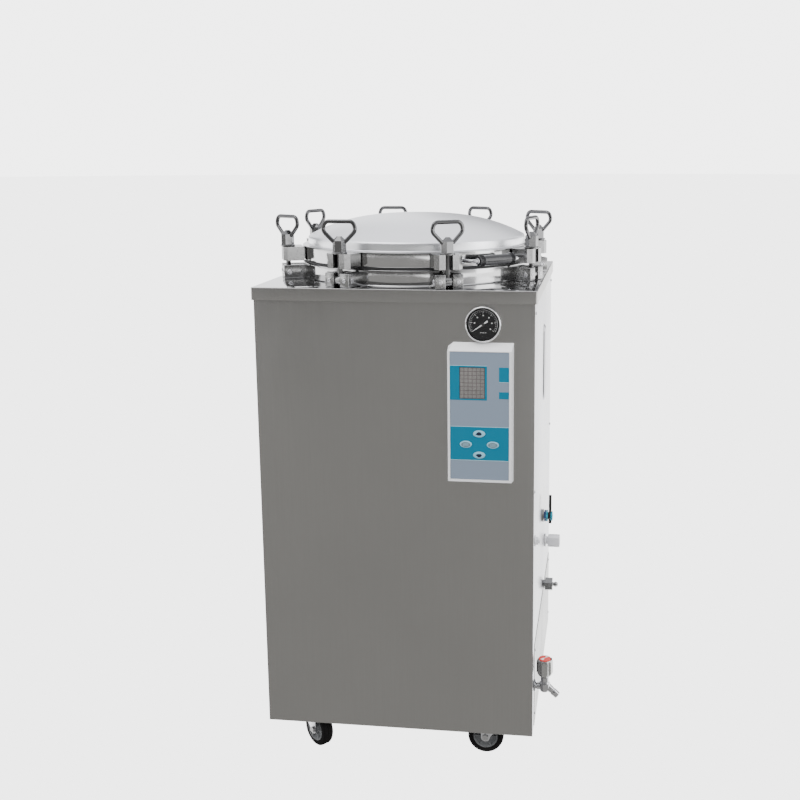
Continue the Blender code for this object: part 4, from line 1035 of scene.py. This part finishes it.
def add_controls():
    at = on_front(0.0, 0.0)
    foot = [
        (LEFT, -FACE_BOTTOM), (RIGHT + 0.003, -FACE_BOTTOM), (RIGHT + 0.003, 0.0145 - FACE_TOP),
        (LEFT + 0.01, 0.0145 - FACE_TOP), (LEFT, 0.0065 - FACE_TOP),
    ]
    face = [
        (LEFT, -FACE_BOTTOM), (RIGHT, -FACE_BOTTOM), (RIGHT, -FACE_TOP), (LEFT + 0.002, -FACE_TOP),
        (LEFT, -FACE_TOP - 0.002),
    ]
    shell = bmesh.new()
    bottom = [shell.verts.new((x, y, GAP)) for x, y in foot]
    top = [shell.verts.new((x, y, PROUD)) for x, y in face]
    shell.faces.new(bottom[::-1])
    shell.faces.new(top)
    for i, vertex in enumerate(bottom):
        j = (i + 1) % len(bottom)
        shell.faces.new((vertex, bottom[j], top[j]))
        shell.faces.new((vertex, top[j], top[i]))
    round_edges(shell, 0.0012, 4, 20)
    mouth = rectangle(LEFT + BEZEL, BEZEL - FACE_BOTTOM, RIGHT - BEZEL, -FACE_TOP - BEZEL_TOP)
    opening = prism(soften(mouth, 0.0012, 3, True), -0.01, PROUD + 0.01)
    bm = add(bmesh.new(), carve(shell, opening), at)
    piece("panel_housing", "cabinet", bm, [white], ["control_housing"], "white_plastic", 30)

    film_low, film_high = PROUD - 0.002, PROUD - 0.0008
    left, right = LEFT + BEZEL + GAP, RIGHT - BEZEL - GAP
    upper, lower = FACE_TOP + BEZEL_TOP + GAP, FACE_BOTTOM - BEZEL - GAP
    window = plate(*WINDOW, -0.01, 0.03, 0.0)
    bm = bmesh.new()
    add(bm, carve(plate(left, right, upper, lower, film_low, film_high), window, *key_holes()), at)
    window = plate(*WINDOW, -0.01, 0.03, 0.0)
    print_low, print_high = film_high - 0.0003, PROUD - 0.00055
    window_edge, tab_edge, keys_top, keys_low = 0.1852, 0.2085, 0.264, 0.33
    add(bm, carve(plate(left, window_edge, 0.144, 0.211, print_low, print_high), window), at, 1)
    add(bm, plate(tab_edge, right, 0.146, 0.1743, print_low, print_high), at, 1)
    add(bm, plate(tab_edge, right, 0.194, 0.2075, print_low, print_high), at, 1)
    add(bm, carve(plate(left, right, keys_top, keys_low, print_low, print_high), *key_holes()), at, 1)
    lines = (
        (left, window_edge, 0.1432), (left, right, keys_top - 0.0009), (tab_edge, right, 0.1743),
        (left, right, keys_low),
    )
    for start, end, drop in lines:
        add(bm, plate(start, end, drop, drop + 0.0009, print_low, print_high - 0.0001, 0.0), at, 2)
    materials = [film_blue, film_teal, film_line]
    piece("membrane", "cabinet", bm, materials, ["control_membrane"], "membrane_film", 25)

    bm = bmesh.new()
    low, high = PROUD - 0.0035, PROUD - 0.0017
    near, far, upper, lower = WINDOW
    add(bm, plate(near + GAP, far - GAP, upper + GAP, lower - GAP, low, high, 0.0002), at)
    columns, rows, edge, rule = 6, 8, 0.0009, 0.0011
    cell_x, cell_y = (far - near - 2 * edge) / columns, (lower - upper - 2 * edge) / rows
    for i in range(columns):
        for j in range(rows):
            x, drop = near + edge + i * cell_x + rule / 2, upper + edge + j * cell_y + rule / 2
            cell = (x, x + cell_x - rule, drop, drop + cell_y - rule)
            add(bm, plate(*cell, high - 0.0001, high + 0.0004, 0.0003), at, 1)
    piece("display", "cabinet", bm, [window_dark, window_cell], ["display_window"], "window_film", 25)

    low = (LEFT + BEZEL + 0.003, BEZEL + 0.003 - FACE_BOTTOM, 0.0045)
    high = (RIGHT - BEZEL - 0.003, -FACE_TOP - BEZEL_TOP - 0.003, 0.0061)
    bm = add(bmesh.new(), block(low, high, 0.0004), at)
    for i in range(4):
        chip = block((0.125 + 0.024 * i, -0.25, 0.006), (0.139 + 0.024 * i, -0.238, 0.0085), 0.0004)
        add(bm, chip, at, 1)
    piece("circuit_board", "cabinet", bm, [board_green, black_and_painted_shade], ["control_board"], "circuit_board")

    for name, (x, drop) in KEYS.items():
        add_key(name, at @ move(x, -drop, 0))


def add_key(name, at):
    """An oval key, domed towards its middle, with a printed mark."""
    bm = bmesh.new()
    outline = oval(KEY_X, KEY_Y, 48)
    levels = ((1.0, -0.006), (1.0, -0.0003), (0.965, 0.0001), (0.86, 0.00045), (0.5, 0.0007))
    add(bm, loft([[(x * scale, y * scale, PROUD + z) for x, y in outline] for scale, z in levels]), at)
    print_low, print_high = PROUD + 0.0004, PROUD + 0.0009
    if name in ("key_up", "key_down"):
        mark = [
            (-0.0072, -0.0006), (-0.003, 0.003), (0.0, 0.0044), (0.0034, 0.003), (0.0058, -0.0002),
            (0.0032, -0.0028), (-0.0028, -0.0028),
        ]
        if name == "key_down":
            mark = [(x, -y) for x, y in reversed(mark)]
        add(bm, prism(soften(mark, 0.001, 3, True), print_low, print_high), at, 2)
    else:
        add(bm, prism(oval(KEY_X * 0.76, KEY_Y * 0.7), print_low, PROUD + 0.00082), at, 1)
        for row in (-0.002, 0.0, 0.002):
            bar = block((-0.0055, row - 0.0003, PROUD + 0.0008), (0.0055, row + 0.0003, print_high), 0.0)
            add(bm, bar, at)
    piece(name + "_cap", name + "_button", bm, [key_cyan, key_grey, key_navy], [name], "key_cap", 30)


# ---- Fittings on the right side ----
def add_side_fittings():
    at = on_side(-0.01, 0.538)
    bm = add(bmesh.new(), hexagon(0.015, GAP, 0.0042), at)
    stem = [
        (0.0, 0.004), (0.009, 0.004), (0.009, 0.013), (0.0045, 0.013), (0.0045, 0.0232), (0.0, 0.0232),
    ]
    add(bm, turned(soften(stem, 0.0005), 32), at)
    for low, material in ((0.005, 2), (0.0092, 1)):
        lobed = [polar(0.0112 + 0.0018 * math.cos(6 * math.radians(a)), a) for a in range(0, 360, 6)]
        add(bm, prism(lobed, low, low + 0.0038, 0.0006, 2, 60), at, material)
    piece("exhaust_body", "cabinet", bm, [cast, teal_cap, navy_cap], ["exhaust_valve_body"], "cast_steel")

    bm = add(bmesh.new(), washer(0.0048, 0.009, 0.0135, 0.0232, 0.0008, 32, 3), at)
    outline = soften([
        (-0.0045, -0.017), (0.0045, -0.017), (0.0036, 0.034), (0.0028, 0.048), (-0.0028, 0.048),
        (-0.0036, 0.034),
    ], 0.002, 4, True)
    add(bm, carve(prism(outline, 0.015, 0.021, 0.0008, 2), disc(0.0085, 0.0, 0.05)), at)
    add(bm, stud(0.0105, 0.0192, 0.0232, 0.006, 0.0242, 0.0008), at @ move(0, -0.0005, 0), 1)
    piece("exhaust_lever", "exhaust_lever", bm, [black, teal_cap], ["exhaust_valve_lever"], "black_plastic")

    at = on_side(0.09, 0.634)
    bm = add(bmesh.new(), disc(0.015, GAP, 0.004, 0.001, 40), at)
    add(bm, disc(0.009, 0.0036, 0.02, 0.0008), at)
    add(bm, block((-0.013, -0.012, 0.008), (0.013, 0.0117, 0.036), 0.0032, 4), at)
    add(bm, stud(0.0095, 0.0, 0.003, 0.006, 0.0036, 0.0008), at @ move(0, -0.0095, 0.022) @ turn(90, "X"))
    piece("overflow", "cabinet", bm, [clear_white], ["overflow_fitting"], "white_plastic")

    at = on_side(-0.247, 0.506)
    bm = add(bmesh.new(), disc(0.011, GAP, 0.0022, 0.0006), at)
    add(bm, hexagon(0.0085, 0.002, 0.0075), at)
    cup = [
        (0.0, 0.0072), (0.0048, 0.0072), (0.0048, 0.0105), (0.0026, 0.0105), (0.0026, 0.008), (0.0, 0.008),
    ]
    add(bm, turned(soften(cup, 0.0004), 24), at)
    piece("sensor_boss", "cabinet", bm, [clear_white], (), "white_plastic")

    at = on_side(0.03, 0.716)
    bm = add(bmesh.new(), disc(0.0095, GAP, 0.008, 0.0006), at)
    add(bm, hexagon(0.0155, 0.006, 0.023, 0.001), at)
    barb = [
        (0.0, 0.0225), (0.006, 0.0225), (0.0045, 0.024), (0.0045, 0.027), (0.0061, 0.029), (0.0054, 0.0315),
        (0.0036, 0.035), (0.0018, 0.035), (0.0018, 0.029), (0.0, 0.029),
    ]
    add(bm, turned(soften(barb, 0.0004), 28), at)
    piece("condensate", "cabinet", bm, [cast_bright], ["condensate_valve"], "cast_steel")


def add_drain_tap():
    at = move(HALF, -0.238, TOP - 0.822)
    lie = at @ turn(90, "Y")
    stem_x, slope = 0.022, 43
    bm = bmesh.new()
    flange = [
        (0.0, GAP), (0.0125, GAP), (0.0125, 0.003), (0.0105, 0.0045), (0.0078, 0.0055), (0.0074, 0.024),
        (0.0, 0.024),
    ]
    add(bm, turned(soften(flange, 0.0008), 36), lie)
    body = [
        (0.0, -0.0125), (0.0055, -0.012), (0.0098, -0.0085), (0.0112, -0.003), (0.0112, 0.008),
        (0.0086, 0.012), (0.0086, 0.022), (0.0052, 0.024), (0.005, 0.0465), (0.0, 0.0465),
    ]
    add(bm, turned(soften(body, 0.002, 4), 40), at @ move(stem_x, 0, 0))
    tip_x, spout_radius = 0.329, 0.0075
    reach = tip_x - HALF - stem_x
    length = (reach - spout_radius * math.sin(math.radians(slope))) / math.cos(math.radians(slope))
    spout = [
        (0.0, 0.0), (0.0078, 0.0), (0.0072, length * 0.45), (0.0066, length * 0.62),
        (spout_radius, length * 0.7), (spout_radius, length), (spout_radius - 0.0016, length),
        (spout_radius - 0.0018, length - 0.012), (0.0, length - 0.012),
    ]
    spout_at = at @ move(stem_x, 0, 0.006) @ turn(90 + slope, "Y")
    add(bm, turned(soften(spout, 0.0006), 36), spout_at)
    # A black disc down in the spout's bore: painted shade inside the opening.
    mouth = disc(0.0055, length - 0.0116, length - 0.011, steps=28)
    add(bm, mouth, spout_at, 1)
    piece("tap_body", "cabinet", bm, [tap_chrome, black_and_painted_shade], ["drain_tap_body"], "polished_steel")

    bm = bmesh.new()
    rings = []
    levels = (
        (0.0258, 0.0132, 0.0), (0.029, 0.015, 0.0003), (0.032, 0.016, 0.0008), (0.056, 0.0156, 0.0008),
        (0.0585, 0.0148, 0.0003), (0.06, 0.0136, 0.0),
    )
    for z, radius, depth in levels:
        ring = [polar(radius + depth * math.cos(10 * math.radians(a)), a, z) for a in range(0, 360, 4)]
        rings.append(ring)
    knob = loft(rings)
    knob_at = at @ move(stem_x, 0, 0)
    bore = disc(0.0053, 0.0, 0.0475, steps=24)
    add(bm, carve(knob, bore), knob_at)
    button = [(0.0, 0.0595), (0.0128, 0.0595), (0.0128, 0.0612), (0.0112, 0.062), (0.0, 0.0624)]
    add(bm, turned(soften(button, 0.0005), 40), knob_at, 1)
    for angle in (35, 215):
        sector = prism([(0.0, 0.0), *arc(0.0108, angle, angle + 40, 5)], 0.0618, 0.0627)
        add(bm, sector, knob_at, 2)
    add(bm, block((0.0108, -0.003, 0.0592), (0.0148, 0.003, 0.0622), 0.0008), knob_at, 3)
    add(bm, block((-0.0165, -0.0055, 0.033), (-0.0145, 0.0055, 0.055), 0.0008), knob_at, 3)
    materials = [knob_grey, knob_red, mark_white, black_and_painted_shade]
    piece("tap_knob", "tap_knob", bm, materials, ["drain_tap_knob"], "knob_grey")


def add_power_inlet():
    at = move(-0.2, HALF, 0.25) @ turn(-90, "X")
    bm = add(bmesh.new(), hexagon(0.0145, GAP, 0.0062, 0.0008), at)
    sleeve = [
        (0.0112, 0.006), (0.0112, 0.0085), (0.0104, 0.01), (0.0092, 0.015), (0.0052, 0.015),
        (0.0052, 0.006),
    ]
    add(bm, turned(soften(sleeve, 0.0006, 2, True), 40), at)
    for rib in range(16):
        add(bm, block((0.0096, -0.0006, 0.007), (0.0116, 0.0006, 0.0125), 0.0003), at @ turn(22.5 * rib))
    piece("cable_gland", "cabinet", bm, [black_and_painted_shade], ["power_inlet"], "black_plastic")


# ---- Stage, light and camera ----
def emission(name, colour, strength):
    material = bpy.data.materials.new(name)
    material.use_nodes = True
    tree = material.node_tree
    shader = tree.nodes["Principled BSDF"]
    shader.inputs["Base Color"].default_value = (0.0, 0.0, 0.0, 1.0)
    shader.inputs["Roughness"].default_value = 0.9
    shader.inputs["Specular IOR Level"].default_value = 0.0
    shader.inputs["Emission Color"].default_value = (*colour, 1.0)
    shader.inputs["Emission Strength"].default_value = strength
    return material


def add_stage():
    bm = bmesh.new()
    bmesh.ops.create_circle(bm, cap_ends=True, segments=96, radius=60.0)
    floor = bpy.data.objects.new("floor", mesh_of(bm, [emission("floor_white", (0.8, 0.8, 0.8), 5.0)]))
    floor.visible_diffuse = False
    bpy.context.scene.collection.objects.link(floor)

    # The card keeps the bright floor before the machine out of the steel's reflections.
    sheet = block((-22.0, -45.0, 0.0), (4.6, -0.24, 0.002), 0.0)
    grey = emission("card_grey", (0.57, 0.563, 0.55), 1.0)
    card = bpy.data.objects.new("front_card", mesh_of(add(bmesh.new(), sheet), [grey]))
    card.location = (0, 0, 0.003)
    card.visible_camera = False
    card.visible_diffuse = False
    card.visible_shadow = False
    card.visible_transmission = False
    bpy.context.scene.collection.objects.link(card)


def add_light(name, location, target, size, power, glossy=True):
    data = bpy.data.lights.new(name, "AREA")
    data.shape = "RECTANGLE"
    data.size, data.size_y = size
    data.energy = power
    light = bpy.data.objects.new(name, data)
    light.location = location
    light.visible_glossy = glossy
    light.rotation_euler = (Vector(target) - Vector(location)).to_track_quat("-Z", "Y").to_euler()
    bpy.context.scene.collection.objects.link(light)


def add_world():
    world = bpy.data.worlds.new("studio")
    bpy.context.scene.world = world
    world.use_nodes = True
    tree = world.node_tree
    background = tree.nodes["Background"]
    direction = new_node(tree, "ShaderNodeTexCoord").outputs["Generated"]
    parts = new_node(tree, "ShaderNodeSeparateXYZ", {"Vector": direction})
    upward = remap(tree, parts.outputs["Z"], 0.15, 0.65, 0.0, 1.0)
    frontward = remap(tree, parts.outputs["Y"], -0.85, -0.1, 1.0, 0.0)
    inputs = {"Vector": direction, "Scale": 2.6, "Detail": 0.0}
    patches = remap(tree, new_node(tree, "ShaderNodeTexNoise", inputs).outputs["Fac"], 0.44, 0.54, 0.0, 1.0)
    walls = blend(tree, patches, (0.12, 0.12, 0.12), (2.3, 2.3, 2.33))
    horizon = blend(tree, frontward, walls, (0.2, 0.198, 0.195))
    sky = blend(tree, frontward, (1.6, 1.61, 1.66), (0.42, 0.42, 0.43))
    lit = blend(tree, upward, horizon, sky)
    seen = new_node(tree, "ShaderNodeLightPath").outputs["Is Camera Ray"]
    tree.links.new(blend(tree, seen, lit, (4.6, 4.6, 4.6)), background.inputs["Color"])


def add_camera():
    data = bpy.data.cameras.new("view")
    camera = bpy.data.objects.new("view", data)
    bpy.context.scene.collection.objects.link(camera)
    yaw, pitch, roll = math.radians(7.0), math.radians(9.71), math.radians(-0.11)
    forward = Vector((-math.sin(yaw) * math.cos(pitch), math.cos(yaw) * math.cos(pitch), -math.sin(pitch)))
    right = Vector((math.cos(yaw), math.sin(yaw), 0.0))
    up = right.cross(forward)
    level = Matrix((right, up, -forward)).transposed().to_4x4()
    side = 0.56
    place = CENTRE.translation + Vector((0.729 * side, -3.953 * side, TOP + 0.46 * side))
    camera.matrix_world = Matrix.Translation(place) @ level @ Matrix.Rotation(roll, 4, "Z")
    data.sensor_width = 36.0
    data.lens = 1036.7 * 36.0 / 800.0
    data.shift_x, data.shift_y = -0.1, -0.0875
    data.clip_start, data.clip_end = 0.05, 200.0
    bpy.context.scene.camera = camera


def dress_frame():
    """Materials for the CAD nodes that stay as they are."""
    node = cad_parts["base_frame"]
    node.data.materials.clear()
    node.data.materials.append(painted)


add_camera()
add_world()
add_stage()
add_light("overhead", (-0.8, -1.0, 3.2), (0, 0, 0.9), (2.2, 1.6), 28)
add_light("right_box", (2.8, -0.6, 1.9), (0, 0, 0.7), (1.2, 2.2), 30)
add_light("front_fill", (0.4, -3.2, 2.9), (0, 0, 0.7), (2.0, 2.0), 85, False)
add_light("left_box", (-2.8, -1.6, 1.8), (0, 0, 0.8), (0.9, 2.2), 12)
add_panels()
add_cover()
add_vessel()
add_support_plate()
add_basket()
add_lid()
add_clamps()
add_castors()
add_gauge()
add_controls()
add_side_fittings()
add_drain_tap()
add_power_inlet()
dress_frame()
